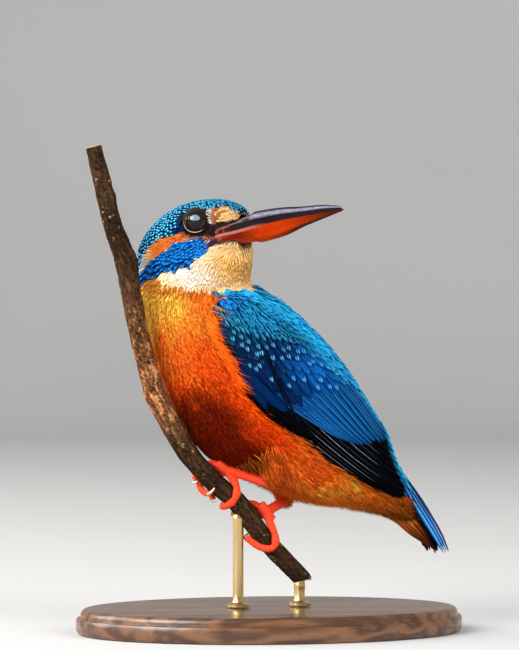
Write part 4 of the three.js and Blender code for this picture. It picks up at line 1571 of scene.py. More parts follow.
def flank_strands(side, label):
    """Fine orange strands of the flank that lie over the wing's lower edge."""
    surface = outline()
    rng = np.random.default_rng(97)
    count = FLANK_STRANDS
    at = 4 + 62 * rng.uniform(0, 1, count) ** 1.2
    lower = np.maximum(wing_curve(at)[:, 1], along(WING_FRONT, at))
    lower = lower - 0.5 * ease(34, 24, at)
    across = side * (wing_curve(at)[:, 2] - 0.5)
    roots = SPINE.world(np.stack([at, across, lower - rng.uniform(0.0, 2.6, count)], 1))
    roots, normals = surface.nearest(roots)
    zones = np.full(count, BREAST)
    tone = np.clip(plumage(roots, zones) * 1.1 + (0.03, 0.03, 0.0), 0, 1)
    length = rng.uniform(3.4, 6.4, count)
    turn = np.radians(rng.normal(22, 6, count))
    heading = np.cos(turn)[:, None] * SPINE.x + np.sin(turn)[:, None] * SPINE.z
    stations = []
    rise = rng.uniform(0.6, 1.0, (count, 1))
    for share in STRAND[0]:
        spot, normal = surface.nearest(roots + heading * (length * share)[:, None])
        stations.append(spot + normal * (0.15 + 0.75 * share**0.7) * rise)
    centre = np.stack(stations, 1)
    ahead = unit(np.gradient(centre, axis=1))
    side_way, up = rolled(ahead, np.repeat(normals[:, None], 3, axis=1), 0.0)
    tint = tinted(tone, STRAND[0], 0.85, 0.2, rng)
    return feather_mesh(f"flank_strands_{label}", STRAND, centre, side_way, up, 0.085, 0.05, tint,
                        (0.0, 0.0, 0.0))


class TailSheet:
    """One face of the tail, which runs on past the body's outline to the feathers' tips."""

    def __init__(self, face):
        self.face = face

    def nearest(self, points):
        place = SPINE.local(points)
        core = np.stack([place[:, 0], np.zeros(len(place)), tail_curve(place[:, 0])[:, 0] - 9], 1)
        return points, unit(points - SPINE.world(core)) * self.face


# The faces of the tail: name, 1 for above or -1 for below, colour, share of pale shaft, where the feathers
# start and end along the spine, how much sooner the outer ones end, and how far across they reach.
TAIL_FACES = (
    ("tail_above", 1, (0.006, 0.14, 0.60), 0.6, 76.0, 103.1, 1.5, (0.60, 0.93, 1.0, 0.98, 0.82)),
    ("tail_below", -1, (0.030, 0.008, 0.003), 0.0, 86.0, 100.3, 0.0, (0.80,) * 5),
)
TAIL_COUNT = 12
TAIL_DROP = 1.2  # how far the tips of the tail curve down


def tail_feathers():
    """The tail feathers, blue above and dark below, the middle pair on top."""
    rng = np.random.default_rng(99)
    fan = np.linspace(-1, 1, TAIL_COUNT)
    pieces = []
    for name, face, tone, shaft, start, end, sooner, reach in TAIL_FACES:
        paths = []
        for u in fan:
            at = np.array([start, start + 7, start + 13, 97, end - sooner * u * u])
            mid, half = np.moveaxis(tail_curve(at), -1, 0)
            across = u * half * np.array(reach)
            up = mid - TAIL_ROOF * (across / half) ** 2 + (TAIL_TOP if face > 0 else -TAIL_TOP - 0.1)
            paths.append(SPINE.world(np.stack([at, across, up - TAIL_DROP * ease(94, 103, at)], 1)))
        tones = np.tile(tone, (TAIL_COUNT, 1))
        if face > 0:
            tones[[3, 8]] = (0.001, 0.012, 0.16)
            tones[[0, 1, 10, 11]] = (0.008, 0.20, 0.56)
        tint = tinted(tones, LONG[0], 0.6, 0.12, rng)
        high = 0.1 + 0.3 * (1 - np.abs(fan) if face > 0 else np.abs(fan))
        pieces.append(quills(name, TailSheet(face), paths, 1.15, high, 0.4, tint, (0.0, shaft, 0.9),
                             roll=-np.sign(fan) * 0.12, thick=0.16))
    return pieces[0], join([pieces[1], under_coverts()], "tail_below")


# Rows of coverts under the tail: end along the spine, length, half width of the row, colour.
UNDER_ROWS = (
    (92.5, 13, 5.2, (0.60, 0.15, 0.020)),
    (96.5, 12, 4.6, (0.38, 0.085, 0.012)),
    (99.4, 11, 3.8, (0.22, 0.045, 0.008)),
)
TAIL_KEEL = ((80, 2.6), (84, 4.0), (87.5, 5.3), (92.5, 6.2), (97.4, 8.0), (101.5, 10.0))  # along, up


def under_coverts():
    """The coverts under the tail, in rows that taper towards its end."""
    rng = np.random.default_rng(98)
    centres, tones = [], []
    for end, length, wide, tone in UNDER_ROWS:
        for u in np.linspace(-1, 1, 11):
            at = end - 1.6 * u * u + rng.uniform(-0.6, 0.6) - length * (1 - np.array(LONG[0]))
            keel = along(TAIL_KEEL, at)
            up = keel + (9.4 - keel) * np.clip(u * u, 0, 1) * 0.9
            centres.append(SPINE.world(np.stack([at, u * wide * ease(104, 84, at), up], 1)))
            tones.append(tone)
    centre = np.array(centres)
    ahead = unit(np.gradient(centre, axis=1))
    at = SPINE.local(centre.reshape(-1, 3))[:, 0]
    core = SPINE.world(np.stack([at, np.zeros(at.size), np.full(at.size, 11.5)], 1)).reshape(centre.shape)
    side_way, up_way = rolled(ahead, unit(centre - core), 0.0)
    tint = tinted(np.array(tones), LONG[0], 0.7, 0.16, rng)
    return feather_mesh("under_tail_coverts", LONG, centre, side_way, up_way, 1.15, 0.12, tint,
                        (0.0, 0.3, 0.7))

# ---------------------------------------------------------------- skin and feet

SCUTE = 0.85  # length of one scale along a toe
FOOT_DETAIL = 0.16
TOE_CLEARANCE = 0.3  # between the twig's mean radius and a toe
NAIL_SIDES = 14
KNUCKLES = 3  # along each toe
FEET_SHEET = (0.87, 0.12)  # where the feet's sheet starts on the bake map, both ways, and its size


def coat_depth(points):
    """How deep the skin lies below the tips of the coat."""
    head, body = SKULL.local(points), SPINE.local(points)
    depth = 0.85 - 0.3 * ease(96, 102, points[:, 2])
    depth = depth - 0.33 * ease(7, 12, head[:, 0]) * ease(-14, -9, head[:, 2])
    depth = depth * (1 - 0.5 * ease(62, 74, body[:, 0]))
    gaze, distance = gaze_of(head)
    opening = ease(0.60, 0.72, gaze) * ease(6, 5, distance)
    return depth + 1.4 * opening


def toe_line(toe, count=28):
    begin, end, bow, start, stop, radius = toe
    share = np.linspace(0, 1, count)
    level = begin + (end - begin) * share + bow * np.sin(math.pi * share)
    clear = twig_curve(begin)[2] + radius + TOE_CLEARANCE
    line = on_twig(level, start + (stop - start) * share, np.full(count, clear))
    swell = np.sin(math.pi * np.minimum(share * 1.4, 1)) ** 0.5
    knuckles = 1 + 0.13 * np.cos(2 * math.pi * KNUCKLES * share) * swell
    return line, radius * (1.1 - 0.14 * share) * knuckles


def foot_lines(foot):
    """The centre line and radius of the shank, of the sole and of each toe."""
    pads = np.array(foot["pad"])
    sole = on_twig(pads, np.zeros(2), twig_curve(pads)[:, 2] + PAD_RADIUS + 0.6)
    ball = sole.mean(axis=0)
    shank = blend(foot["heel"], ball, np.linspace(0, 1, 12))
    swell = 1 + 0.14 * np.linspace(1, 0, 12) ** 3 + 0.10 * np.linspace(0, 1, 12) ** 4
    pad = blend(sole[0], sole[1], np.linspace(-0.1, 1.1, 8))
    lines = [(shank, SHANK_RADIUS * swell), (pad, PAD_RADIUS * 1.05)]
    for toe in foot["toes"]:
        line, radius = toe_line(toe)
        root = blend(ball, line[0], np.linspace(0.2, 0.9, 5))
        girth = np.concatenate([np.full(len(root), toe[-1] * 1.15), radius[1:]])
        lines.append((np.concatenate([root, line[1:]]), girth))
    return lines


def bare_feet():
    """Shanks, soles and toes as one mesh, with scales along them."""
    tubes, lines = [], []
    for foot in FEET.values():
        for line, radius in foot_lines(foot):
            tubes.append(new_object("foot", *tube(line, radius, 16)))
            lines.append(line)
    feet = join(tubes, "feet")
    apply_modifier(feet, "REMESH", mode="VOXEL", voxel_size=FOOT_DETAIL * MM)
    apply_modifier(feet, "SMOOTH", factor=0.5, iterations=5)
    points, normals = places(feet.data), outward(feet.data)
    best, run = np.full(len(points), 1e9), np.zeros(len(points))
    for line in lines:
        stops = run_along(line)
        fine = np.linspace(0, stops[-1], 60)
        dense = at_stops(line, stops, fine)
        distance = np.linalg.norm(points[:, None] - dense[None], axis=2)
        nearest = distance.argmin(axis=1)
        reach = distance[np.arange(len(points)), nearest]
        run = np.where(reach < best, fine[nearest] + 0.37 * len(line), run)
        best = np.minimum(best, reach)
    share = (run / SCUTE + 0.12 * grain(points, 0.9, 5)) % 1
    groove = np.clip(1 - np.minimum(share, 1 - share) * 6.5, 0, 1)
    pebbles = grain(points, 0.28, 6)
    move_to(feet.data, points + normals * (0.03 - 0.10 * groove + 0.03 * pebbles)[:, None])
    measure(feet.data, "groove", groove)
    return feet


def skin():
    """The bird's whole skin: the feathered body, with the bare legs and toes."""
    surface = outline()
    body = made["shell"]
    depth = coat_depth(surface.points)
    body.data.materials.append(skin_material())
    move_to(body.data, surface.points - surface.normals * depth[:, None])
    apply_modifier(body, "SMOOTH", factor=0.4, iterations=2)
    zones = marks(surface.points)
    paint(body.data, "tint", plumage(surface.points, zones) * 0.6)
    measure(body.data, "groove", np.zeros(len(surface.points)))
    map_on(body.data, "OFBake", coat_map(surface.points))
    feet = bare_feet()
    feet.data.materials.append(foot_material(bpy.context.scene.kingfisher_colours.foot))
    paint(feet.data, "tint", np.full((len(feet.data.vertices), 3), 0.5))
    found = places(feet.data)
    low, high = found.min(axis=0), found.max(axis=0)
    corner, size = FEET_SHEET
    map_on(feet.data, "OFBake", ((found - low) / (high - low))[:, :2] * size + corner)
    whole = join([body, feet], "skin")
    legs = [f"{kind}_{side}" for kind in ("thigh", "leg") for side in FEET]
    toes = [f"toe_{side}_{i + 1}" for side in FEET for i in range(4)]
    flesh = [name for name in FLESH if not name.startswith("thigh")]
    return finish_piece(whole, "foot_skin", *flesh, *legs, *toes)


def claws(side):
    """The four claws of a foot, each curving round the twig past its toe."""
    nails = []
    share = np.linspace(0, 1, 18)
    girth = CLAW_RADIUS[0] + (CLAW_RADIUS[1] - CLAW_RADIUS[0]) * share**0.8
    girth[-1] *= 0.55
    for begin, end, _, _, stop, radius in FEET[side]["toes"]:
        clear = twig_curve(begin)[2] + radius + TOE_CLEARANCE
        turns = np.array([-0.25, 0.25, 0.66, 1.04]) * math.copysign(CLAW_TURN, stop) + stop
        reach = np.array([clear, clear + 0.32, clear + 0.06, clear - radius + 0.2])
        path = spline(on_twig(np.full(4, end), turns, reach), len(share))
        nail = new_object("claw", *tube(path, girth, NAIL_SIDES))
        measure(nail.data, "run", np.concatenate([np.repeat(share, NAIL_SIDES), [0, 1]]))
        nails.append(nail)
    piece = join(nails, f"claws_{side}")
    wear(piece, claw_material())
    return finish_piece(piece, "claw", *(f"claw_{side}_{i + 1}" for i in range(4)))


# ---------------------------------------------------------------- eyes and bill


def eye_axis(side):
    """The way an eye looks, in the model's frame. Side is 1 for the bird's left eye."""
    return unit(np.array(EYE_AXIS) * (1, side, 1)) @ SKULL.rows


def eye_centre(side):
    return SKULL.world(np.array(EYE) * (1, side, 1))


def eyeball(side, label):
    """A glossy ball with a slightly domed cornea."""
    centre = eye_centre(side)
    bpy.ops.object.select_all(action="DESELECT")
    bpy.ops.mesh.primitive_uv_sphere_add(
        segments=64, ring_count=40, radius=EYE_RADIUS * MM, location=centre * MM
    )
    bpy.ops.object.transform_apply(location=True, rotation=True, scale=True)
    bpy.ops.object.shade_smooth()
    ball = bpy.context.active_object
    ball.name = ball.data.name = f"eyeball_{label}"
    found = places(ball.data) - centre
    gaze = unit(found) @ eye_axis(side)
    dome = 1 + 0.035 * ease(0.78, 0.98, gaze)
    move_to(ball.data, centre + found * dome[:, None])
    measure(ball.data, "gaze", gaze)
    wear(ball, eye_material())
    return finish_piece(ball, "eye", f"eye_{label}")


def eyelids(side, label):
    """A dark ring of bare lid round the opening, with a thin pale inner edge."""
    axis = eye_axis(side)
    centre = eye_centre(side)
    forward = unit(SKULL.x - axis * (SKULL.x @ axis))
    downward = np.cross(axis, forward) * side
    turn = np.linspace(0, 2 * math.pi, 72, endpoint=False)
    section = np.linspace(0, 2 * math.pi, 12, endpoint=False)
    points, rim = [], []
    for angle in turn:
        outwards = forward * math.cos(angle) + downward * math.sin(angle)
        opening = EYE_OPENING * (1 + 0.08 * math.cos(2 * angle)) - 0.10 * max(math.sin(angle), 0)
        for bend in section:
            wide = 0.40 + 0.38 * math.cos(bend)
            spread = opening + wide
            height = math.sqrt(max(EYE_RADIUS**2 - min(spread, 3.7) ** 2, 0)) + 0.05 + 0.26 * math.sin(bend)
            points.append(centre + outwards * spread + axis * height)
            pale = ease(0.2, 0.7, -0.66 * math.cos(angle) + 0.75 * math.sin(angle))
            rim.append(ease(0.5, 0.88, -math.cos(bend)) * ease(-0.6, 0.3, math.sin(bend)) * pale)
    faces = [tuple(k % len(points) for k in face) for face in band_faces(len(turn) + 1, len(section))]
    if side > 0:
        faces = [(a, d, c, b) for a, b, c, d in faces]
    lids = new_object(f"eyelids_{label}", points, faces)
    measure(lids.data, "rim", rim)
    face_outward(lids)
    wear(lids, lid_material())
    return finish_piece(lids, "eye")


BILL_RINGS = 84
JAW_FULLNESS = 0.65  # how square the lower half of the bill is where it leaves the face
NOSTRIL = (20.4, 0.45, 1.5, 0.32)  # place along the bill, height, half length, half height


def bill_half(name, upper, material, slot, node):
    """One half of the bill: a horn with a keel, a flat bite, a groove before the nostril and a fine tip."""
    share = np.linspace(0, 1, BILL_RINGS)
    end = BILL[-1][0]
    stations = HORN_START + (end - HORN_START) * (1 - (1 - share) ** 1.35)
    turn = np.concatenate([np.linspace(0, math.pi, 28), math.pi + np.linspace(0, math.pi, 10)[1:-1]])
    points, run, lip, corner, ridged = [], [], [], [], []
    direction = 1 if upper else -1
    for at in stations:
        ridge, bite, keel, half = bill_curve(at)
        bite -= 0.5 * ease(24, 16, at)
        half = max(half, along(GAPE, at)) if at < 30 else half
        edge = ridge if upper else keel + 0.45 * ease(12.5, 16, at) * ease(46, 34, at)
        reach = min((at - HORN_START) / 1.2, (end - at) / 1.2, 1)
        swell = math.sqrt(max(1 - (1 - reach) ** 2, 0.0004))
        seam = bite + direction * 0.05
        fullness = 1 if upper else 1 - (1 - JAW_FULLNESS) * ease(24, 18, at)
        for angle in turn:
            rise = max(math.sin(angle), 0)
            width = np.sign(math.cos(angle)) * abs(math.cos(angle)) ** fullness
            y = half * swell * width * (1 - 0.10 * math.sin(rise * math.pi) * ease(20, 28, at))
            tuck = ease(0.5, 0.75, rise) * ease(22.6, 20.6, at)
            z = seam + rise * swell * (edge - seam) - direction * 0.6 * tuck
            points.append((at, y * (1 - 0.13 * tuck), z))
            run.append((at - HORN_START) / (end - HORN_START))
            fringe = along(FRINGE_TOP if upper else FRINGE_LOW, at)
            bead = math.exp(-(((z - fringe) / 0.32) ** 2)) * ease(22.5, 20.5, at) * (0.8 if upper else 0.3)
            lip.append(max(ease(0.05, 0.0, rise) * ease(28, 19, at) * 0.7, bead * 0.4))
            corner.append(ease(17, 13.5, at))
            ridged.append(rise)
    points = np.array(points)
    sides = len(turn)
    middle = points.reshape(-1, sides, 3)[[0, -1]].mean(axis=1)
    faces = bar_faces(BILL_RINGS, sides)
    points = np.concatenate([points, middle])
    pit = np.zeros(len(points))
    if upper:
        at, high, long, tall = NOSTRIL
        near = ((points[:, 0] - at) / long) ** 2 + ((points[:, 2] - high) / tall) ** 2
        pit = np.clip(1.25 - near, 0, 1)
        groove = np.exp(-(((points[:, 2] - high) / 0.4) ** 2))
        groove = groove * ease(20, 23, points[:, 0]) * ease(38, 28, points[:, 0])
        points[:, 1] -= np.sign(points[:, 1]) * (0.5 * pit + 0.14 * groove)
    horn = new_object(name, SKULL.world(points), faces)
    for label, values in (
        ("run", [*run, 0, 1]), ("lip", np.minimum([*lip, 0, 0], 1)), ("corner", [*corner, 1, 0]),
        ("rise", [*ridged, 0, 0]), ("pit", pit),
    ):
        measure(horn.data, label, values)
    face_outward(horn)
    crease(50)
    wear(horn, material)
    return finish_piece(horn, slot, node)

# ---------------------------------------------------------------- twig and stand

TWIG_SIDES = 56
TWIG_RINGS = 420

# Knots of the bark: level, turn in degrees, height, spread.
KNOTS = ((102.8, 60, 0.9, 2.6), (66, 200, 0.7, 2.2), (88, 120, 0.5, 1.8), (56, 20, 0.5, 1.8),
         (120, 330, 0.6, 1.8), (24, 250, 0.55, 2.0))
KNOT_TURN = 48  # how far a knot reaches round the twig, in degrees
RELIEF_LIFT = 0.16  # keeps the bark's hollows near the mean radius


def twig():
    """A cut length of twig: furrowed bark with knots, and pale wood at its cut ends."""
    levels = np.linspace(TWIG[0][0], TWIG[-1][0], TWIG_RINGS)
    turn = np.linspace(0, 2 * math.pi, TWIG_SIDES, endpoint=False)
    level = np.repeat(levels, TWIG_SIDES)
    angle = np.tile(turn, TWIG_RINGS)
    radius = twig_curve(level)[:, 2]
    around = np.stack([np.cos(angle) * 3.2, np.sin(angle) * 3.2, level * 0.30], 1)
    furrow = grain(around, 0.9, 1) * 0.6 + grain(around * (1, 1, 2.2), 0.45, 2) * 0.4
    lump = grain(np.stack([np.cos(angle) * 2.6, np.sin(angle) * 2.6, level], 1), 3.4, 3)
    crack = np.clip(1 - np.abs(furrow) * 7, 0, 1)
    relief = 0.16 * furrow + 0.16 * lump - 0.14 * crack
    for at, way, high, wide in KNOTS:
        off = (np.degrees(angle) - way + 180) % 360 - 180
        close = ((level - at) / wide) ** 2 + (off / KNOT_TURN) ** 2
        relief = relief + high * np.exp(-close) - high * 0.55 * np.exp(-close * 7)
    bevel = 0.10 * np.minimum(np.minimum(level - TWIG[0][0], TWIG[-1][0] - level) / 0.3, 1) - 0.10
    grip = np.ones(len(level))
    for foot in FEET.values():
        low, high = foot["toes"][0][1] - 5, foot["toes"][1][1] + 2
        grip = np.minimum(grip, 1 - 0.65 * ease(low - 3, low, level) * ease(high + 3, high, level))
    points = on_twig(level, np.degrees(angle), radius + (relief + RELIEF_LIFT) * grip + bevel * radius)
    ends = on_twig(levels[[0, -1]], np.zeros(2), np.zeros(2))
    item = new_object("twig", np.concatenate([points, ends]), bar_faces(TWIG_RINGS, TWIG_SIDES))
    cut = np.zeros(len(points) + 2)
    cut[:TWIG_SIDES] = cut[-TWIG_SIDES - 2 :] = 1
    measure(item.data, "ridge", np.concatenate([np.clip(furrow * 0.9 + 0.5 - crack * 0.6, 0, 1), [0.5, 0.5]]))
    measure(item.data, "cut", cut)
    measure(item.data, "spread", np.concatenate([np.ones(len(points)), [0, 0]]))
    face_outward(item)
    crease(55)
    wear(item, bark_material())
    return finish_piece(item, "bark", "perch")


def draw_out(profile):
    """Extrudes the selected ring through a profile of radii and heights, from its first row."""
    for (before, low), (radius, height) in zip(profile[:-1], profile[1:]):
        bpy.ops.mesh.extrude_region_move(TRANSFORM_OT_translate={"value": (0, 0, (height - low) * MM)})
        share = radius / before
        bpy.ops.transform.resize(value=(share, share, 1), center_override=(0, 0, height * MM))


def turned(name, profile, centre, sides, oval=(1, 1)):
    """A body turned on a lathe: a ring drawn out in edit mode through a profile of radii and heights."""
    first, low = profile[0]
    bpy.ops.object.select_all(action="DESELECT")
    bpy.ops.mesh.primitive_circle_add(
        vertices=sides, radius=first * MM, fill_type="NGON", location=(0, 0, low * MM)
    )
    item = bpy.context.active_object
    with edit_mode():
        draw_out(profile)
        bpy.ops.mesh.select_all(action="SELECT")
        bpy.ops.transform.resize(value=(*oval, 1), center_override=(0, 0, 0))
        bpy.ops.transform.translate(value=(centre[0] * MM, centre[1] * MM, 0))
        bpy.ops.mesh.normals_make_consistent(inside=False)
    bpy.ops.object.transform_apply(location=True, rotation=True, scale=True)
    item.name = item.data.name = name
    crease(35)
    return item


def display_base():
    """An oval plate of polished walnut with a moulded edge."""
    low, high = (v / MM for v in np.array(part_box("stand_base"))[:, 2])
    corner = np.array(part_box("stand_base"))
    long, wide = (corner[1] - corner[0])[:2] / MM / 2
    profile = [(long - 1.4, low), (long - 0.5, low + 0.35), (long, low + 1.2), (long, high - 3.0)]
    profile += [(long - 0.3, high - 2.5), (long - 1.1, high - 2.3), (long - 1.2, high - 1.9)]
    for t in np.linspace(0.2, math.pi / 2, 7):
        profile.append((long - 1.2 - 1.7 * (1 - math.cos(t)), high - 1.9 + 1.9 * math.sin(t)))
    return turned("display_base", profile, (0, 0), 128, (1, wide / long))


# The brass rods: radius and height above the base at the foot, and radius and depth below the top at the cup.
ROD_FOOT = ((3.0, 0), (3.2, 0.2), (3.2, 0.8), (2.9, 1.05), (2.2, 1.2), (1.75, 1.45), (1.5, 2.0), (1.5, 4))
ROD_CUP = ((1.5, 2.2), (1.62, 1.8), (1.62, 1.0), (1.5, 0.6), (1.5, 0.15), (1.35, 0))


def display_rod(name, label):
    """A brass rod on a stepped collar, with a cupped end under the twig."""
    corner = np.array(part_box(name)) / MM
    x, y = (corner[0] + corner[1])[:2] / 2
    low, high = corner[0][2], corner[1][2]
    profile = [(radius, low + height) for radius, height in ROD_FOOT]
    profile += [(radius, high - depth) for radius, depth in ROD_CUP]
    return turned(label, profile, (x, y), 48)

# ---------------------------------------------------------------- studio

VIEW_AZIMUTH = -10
VIEW_DISTANCE = 902.8
VIEW_TARGET = (-2.87, 0.51, 85.3)
LENS = 180
SENSOR = 36
COVE_RADIUS = 1600
COVE_HEIGHT = 1500
COVE_BEND = 900

# Soft lights: name, place, width and height in metres, power in watts, colour.
LIGHTS = (
    ("key", (-1100, -700, 760), 1.2, 0.9, 32.0, (1.0, 0.985, 0.96)),
    ("fill", (700, -1000, 500), 1.0, 1.0, 15.0, (0.98, 0.99, 1.0)),
    ("reflector", (-400, -880, 640), 2.3, 1.2, 130.0, (0.66, 0.76, 1.0)),
    ("rim", (-1100, 350, 600), 0.9, 0.9, 13.0, (1.0, 0.98, 0.95)),
)


def cove(colour):
    """A round pale floor that bends up into a plain wall on every side."""
    bend = np.linspace(0, math.pi / 2, 14)
    profile = [(COVE_RADIUS + COVE_BEND, COVE_HEIGHT)]
    profile += [(COVE_RADIUS + COVE_BEND * math.sin(t), COVE_BEND * (1 - math.cos(t))) for t in bend[::-1]]
    bpy.ops.object.select_all(action="DESELECT")
    bpy.ops.mesh.primitive_circle_add(vertices=128, radius=profile[0][0] * MM, location=(0, 0, 0))
    item = bpy.context.active_object
    with edit_mode():
        bpy.ops.transform.translate(value=(0, 0, profile[0][1] * MM))
        draw_out(profile)
        bpy.ops.mesh.edge_face_add()
        bpy.ops.mesh.select_all(action="SELECT")
        bpy.ops.mesh.normals_make_consistent(inside=True)
    bpy.ops.object.shade_smooth()
    item.name = item.data.name = "studio_floor"
    wear(item, plain_material("studio paper", colour))


def soft_light(name, place, wide, tall, power, colour):
    lamp = bpy.data.lights.new(name, "AREA")
    lamp.shape = "ELLIPSE"
    lamp.size = wide
    lamp.size_y = tall
    lamp.energy = power
    lamp.color = colour
    item = linked(name, lamp)
    item.visible_camera = False
    item.location = Vector(place) * MM
    towards = Vector(VIEW_TARGET) * MM - item.location
    item.rotation_euler = towards.to_track_quat("-Z", "Y").to_euler()
    return item


def studio():
    """A pale cove, a long lens, an even sky and four soft lights, of which one shows in the eyes only."""
    scene = bpy.context.scene
    cove(scene.kingfisher_colours.backdrop)
    turn = math.radians(VIEW_AZIMUTH)
    back = Vector((math.sin(turn), -math.cos(turn), 0))
    lens = bpy.data.cameras.new("camera")
    lens.lens = LENS
    lens.sensor_width = SENSOR
    lens.sensor_fit = "AUTO"
    lens.clip_start, lens.clip_end = 0.01, 20
    camera = linked("camera", lens)
    camera.location = (Vector(VIEW_TARGET) + back * VIEW_DISTANCE) * MM
    camera.rotation_euler = (-back).to_track_quat("-Z", "Y").to_euler()
    scene.camera = camera
    world = bpy.data.worlds.new("studio light")
    world.use_nodes = True
    sky = world.node_tree.nodes["Background"].inputs
    sky["Color"].default_value = (1.0, 1.0, 1.0, 1.0)
    sky["Strength"].default_value = 0.5
    scene.world = world
    lamps = {row[0]: soft_light(*row) for row in LIGHTS}
    lamps["fill"].visible_glossy = False
    eyes = bpy.data.collections.new("lit by the reflector")
    for label in ("left", "right"):
        eyes.objects.link(bpy.data.objects[f"eyeball_{label}"])
    lamps["reflector"].light_linking.receiver_collection = eyes
    lamps["reflector"].visible_diffuse = False
    scene.view_settings.view_transform = "Standard"

# ---------------------------------------------------------------- add-on


class KingfisherSizes(bpy.types.PropertyGroup):
    """Sizes that set how finely the bird is made."""

    skin_detail: FloatProperty(
        name="Skin detail", description="Mesh size of the skin and of the outline that the coat follows",
        default=0.0007, min=0.0004, max=0.002, unit="LENGTH",
    )


def colour_property(name, description, default):
    return FloatVectorProperty(
        name=name, description=description, default=default, size=3, subtype="COLOR", min=0, max=1
    )


class KingfisherColours(bpy.types.PropertyGroup):
    """Colours of the bare parts and of the stand."""

    bill_above: colour_property("Upper bill", "Blackish horn of the bill's upper half", (0.007, 0.004, 0.006))
    bill_below: colour_property("Lower bill", "Red horn of the bill's lower half", (0.36, 0.025, 0.0008))
    foot: colour_property("Feet", "Coral-red skin of the legs and toes", (0.72, 0.045, 0.012))
    wood_light: colour_property("Walnut, light", "Lighter figure of the base", (0.16, 0.070, 0.030))
    wood_dark: colour_property("Walnut, dark", "Darker figure of the base", (0.055, 0.022, 0.010))
    brass: colour_property("Brass", "Brushed brass of the rods", (0.62, 0.42, 0.17))
    backdrop: colour_property("Studio paper", "Plain pale floor and wall", (0.58, 0.58, 0.575))


BLUE_SHEEN = (0.05, 0.35, 0.75)
ORANGE_SHEEN = (1.0, 0.45, 0.12)

# The feathers' materials: roughness, sheen, its tint, and what vane_material is told besides.
VANES = {
    "spotted crown feathers": (0.45, 0.03, BLUE_SHEEN, dict(spot=(0.09, 0.58, 0.86), dot=(0.46, 0.34, 0.31))),
    "cobalt cheek feathers": (0.45, 0.03, BLUE_SHEEN, dict(spot=(0.016, 0.26, 0.70), dot=(0.55, 0.46, 0.28))),
    "soft head feathers": (0.8, 0.08, ORANGE_SHEEN, dict(shine=0.05, contrast=0.08)),
    "soft orange feathers": (0.8, 0.01, ORANGE_SHEEN, dict(contrast=0.12)),
    "bright back feathers": (0.45, 0.08, BLUE_SHEEN, dict(
        spot=(0.04, 0.50, 0.80), shaft=(0.04, 0.48, 0.76), streak=0.35)),
    "large coverts": (0.42, 0.03, BLUE_SHEEN, dict(
        spot=(0.13, 0.52, 0.80), dot=(1.0, 0.9, 0.36), parted=True, fade=0.0, contrast=0.5,
        shaft=(0.03, 0.40, 0.62), shaft_width=0.06)),
    "shoulder coverts": (0.45, 0.03, BLUE_SHEEN, dict(
        spot=(0.04, 0.38, 0.66), dot=(0.5, 0.5, 0.2), shaft=(0.04, 0.42, 0.66), shaft_width=0.045)),
    "secondaries": (0.40, 0.03, BLUE_SHEEN, dict(
        spot=(0.04, 0.32, 0.74), shaft=(0.002, 0.02, 0.08), trim=0.33)),
    "streaked scapulars": (0.45, 0.08, BLUE_SHEEN, dict(
        spot=(0.04, 0.50, 0.80), shaft=(0.05, 0.50, 0.80), streak=0.35)),
    "dark primaries": (0.5, 0.0, BLUE_SHEEN, dict(
        spot=(0.46, 0.58, 0.80), shaft=(0.003, 0.005, 0.008), shine=0.01, trim=0.40, trim_end=0.78)),
    "tail feathers": (0.40, 0.05, BLUE_SHEEN, dict(shaft=(0.34, 0.66, 0.92), shaft_width=0.08)),
    "tail undersides": (0.6, 0.05, ORANGE_SHEEN, dict(shaft=(0.12, 0.06, 0.03))),
}


def dress(slot, name, *pieces):
    """Finishes coat pieces with the feathers' material of that name, which is made once."""
    if name not in made:
        rough, sheen, tint, others = VANES[name]
        made[name] = vane_material(name, rough, sheen, tint, **others)
    for piece in pieces:
        wear(piece, made[name])
        finish_piece(piece, slot)


class Maker:
    """What the operators share."""

    bl_options = {"REGISTER", "UNDO"}

    def execute(self, context):
        self.make(context.scene)
        return {"FINISHED"}


class KINGFISHER_OT_outline(Maker, bpy.types.Operator):
    """Find the outline that the coat's tips reach, and the zones of the plumage on it"""

    bl_idname = "kingfisher.outline"
    bl_label = "Outline of the plumage"

    def make(self, scene):
        outline()
        zone_map()


class KINGFISHER_OT_head_coat(Maker, bpy.types.Operator):
    """Dress the head: crown, cheek bands, face and throat"""

    bl_idname = "kingfisher.head_coat"
    bl_label = "Head feathers"

    def make(self, scene):
        crown, bands = cap_and_bands()
        dress("blue_feathers", "spotted crown feathers", crown)
        dress("blue_feathers", "cobalt cheek feathers", bands)
        dress("orange_feathers", "soft head feathers", face_tufts())
        dress("throat_feathers", "soft head feathers", throat_strands())


class KINGFISHER_OT_body_coat(Maker, bpy.types.Operator):
    """Dress the breast, belly, thighs and vent"""

    bl_idname = "kingfisher.body_coat"
    bl_label = "Breast and belly feathers"

    def make(self, scene):
        pieces = [*breast_and_belly(-1, "left"), *breast_and_belly(1, "right"), *vent_fluff()]
        pieces += [flank_strands(-1, "left"), flank_strands(1, "right")]
        dress("orange_feathers", "soft orange feathers", *pieces)


class KINGFISHER_OT_back_coat(Maker, bpy.types.Operator):
    """Dress the back and rump"""

    bl_idname = "kingfisher.back_coat"
    bl_label = "Back feathers"

    def make(self, scene):
        dress("blue_feathers", "bright back feathers", *back_feathers())


class KINGFISHER_OT_wings(Maker, bpy.types.Operator):
    """Dress both wings: coverts, scapulars and flight feathers"""

    bl_idname = "kingfisher.wings"
    bl_label = "Wing feathers"

    def make(self, scene):
        for side, label in ((-1, "left"), (1, "right")):
            inner, outer = flight_feathers(side, label)
            dress("blue_feathers", "secondaries", inner)
            dress("blue_feathers", "dark primaries", outer)
            dress("blue_feathers", "large coverts", wing_coverts(side, label))
            dress("blue_feathers", "shoulder coverts", shoulder(side, label))
            dress("blue_feathers", "streaked scapulars", scapulars(side, label))


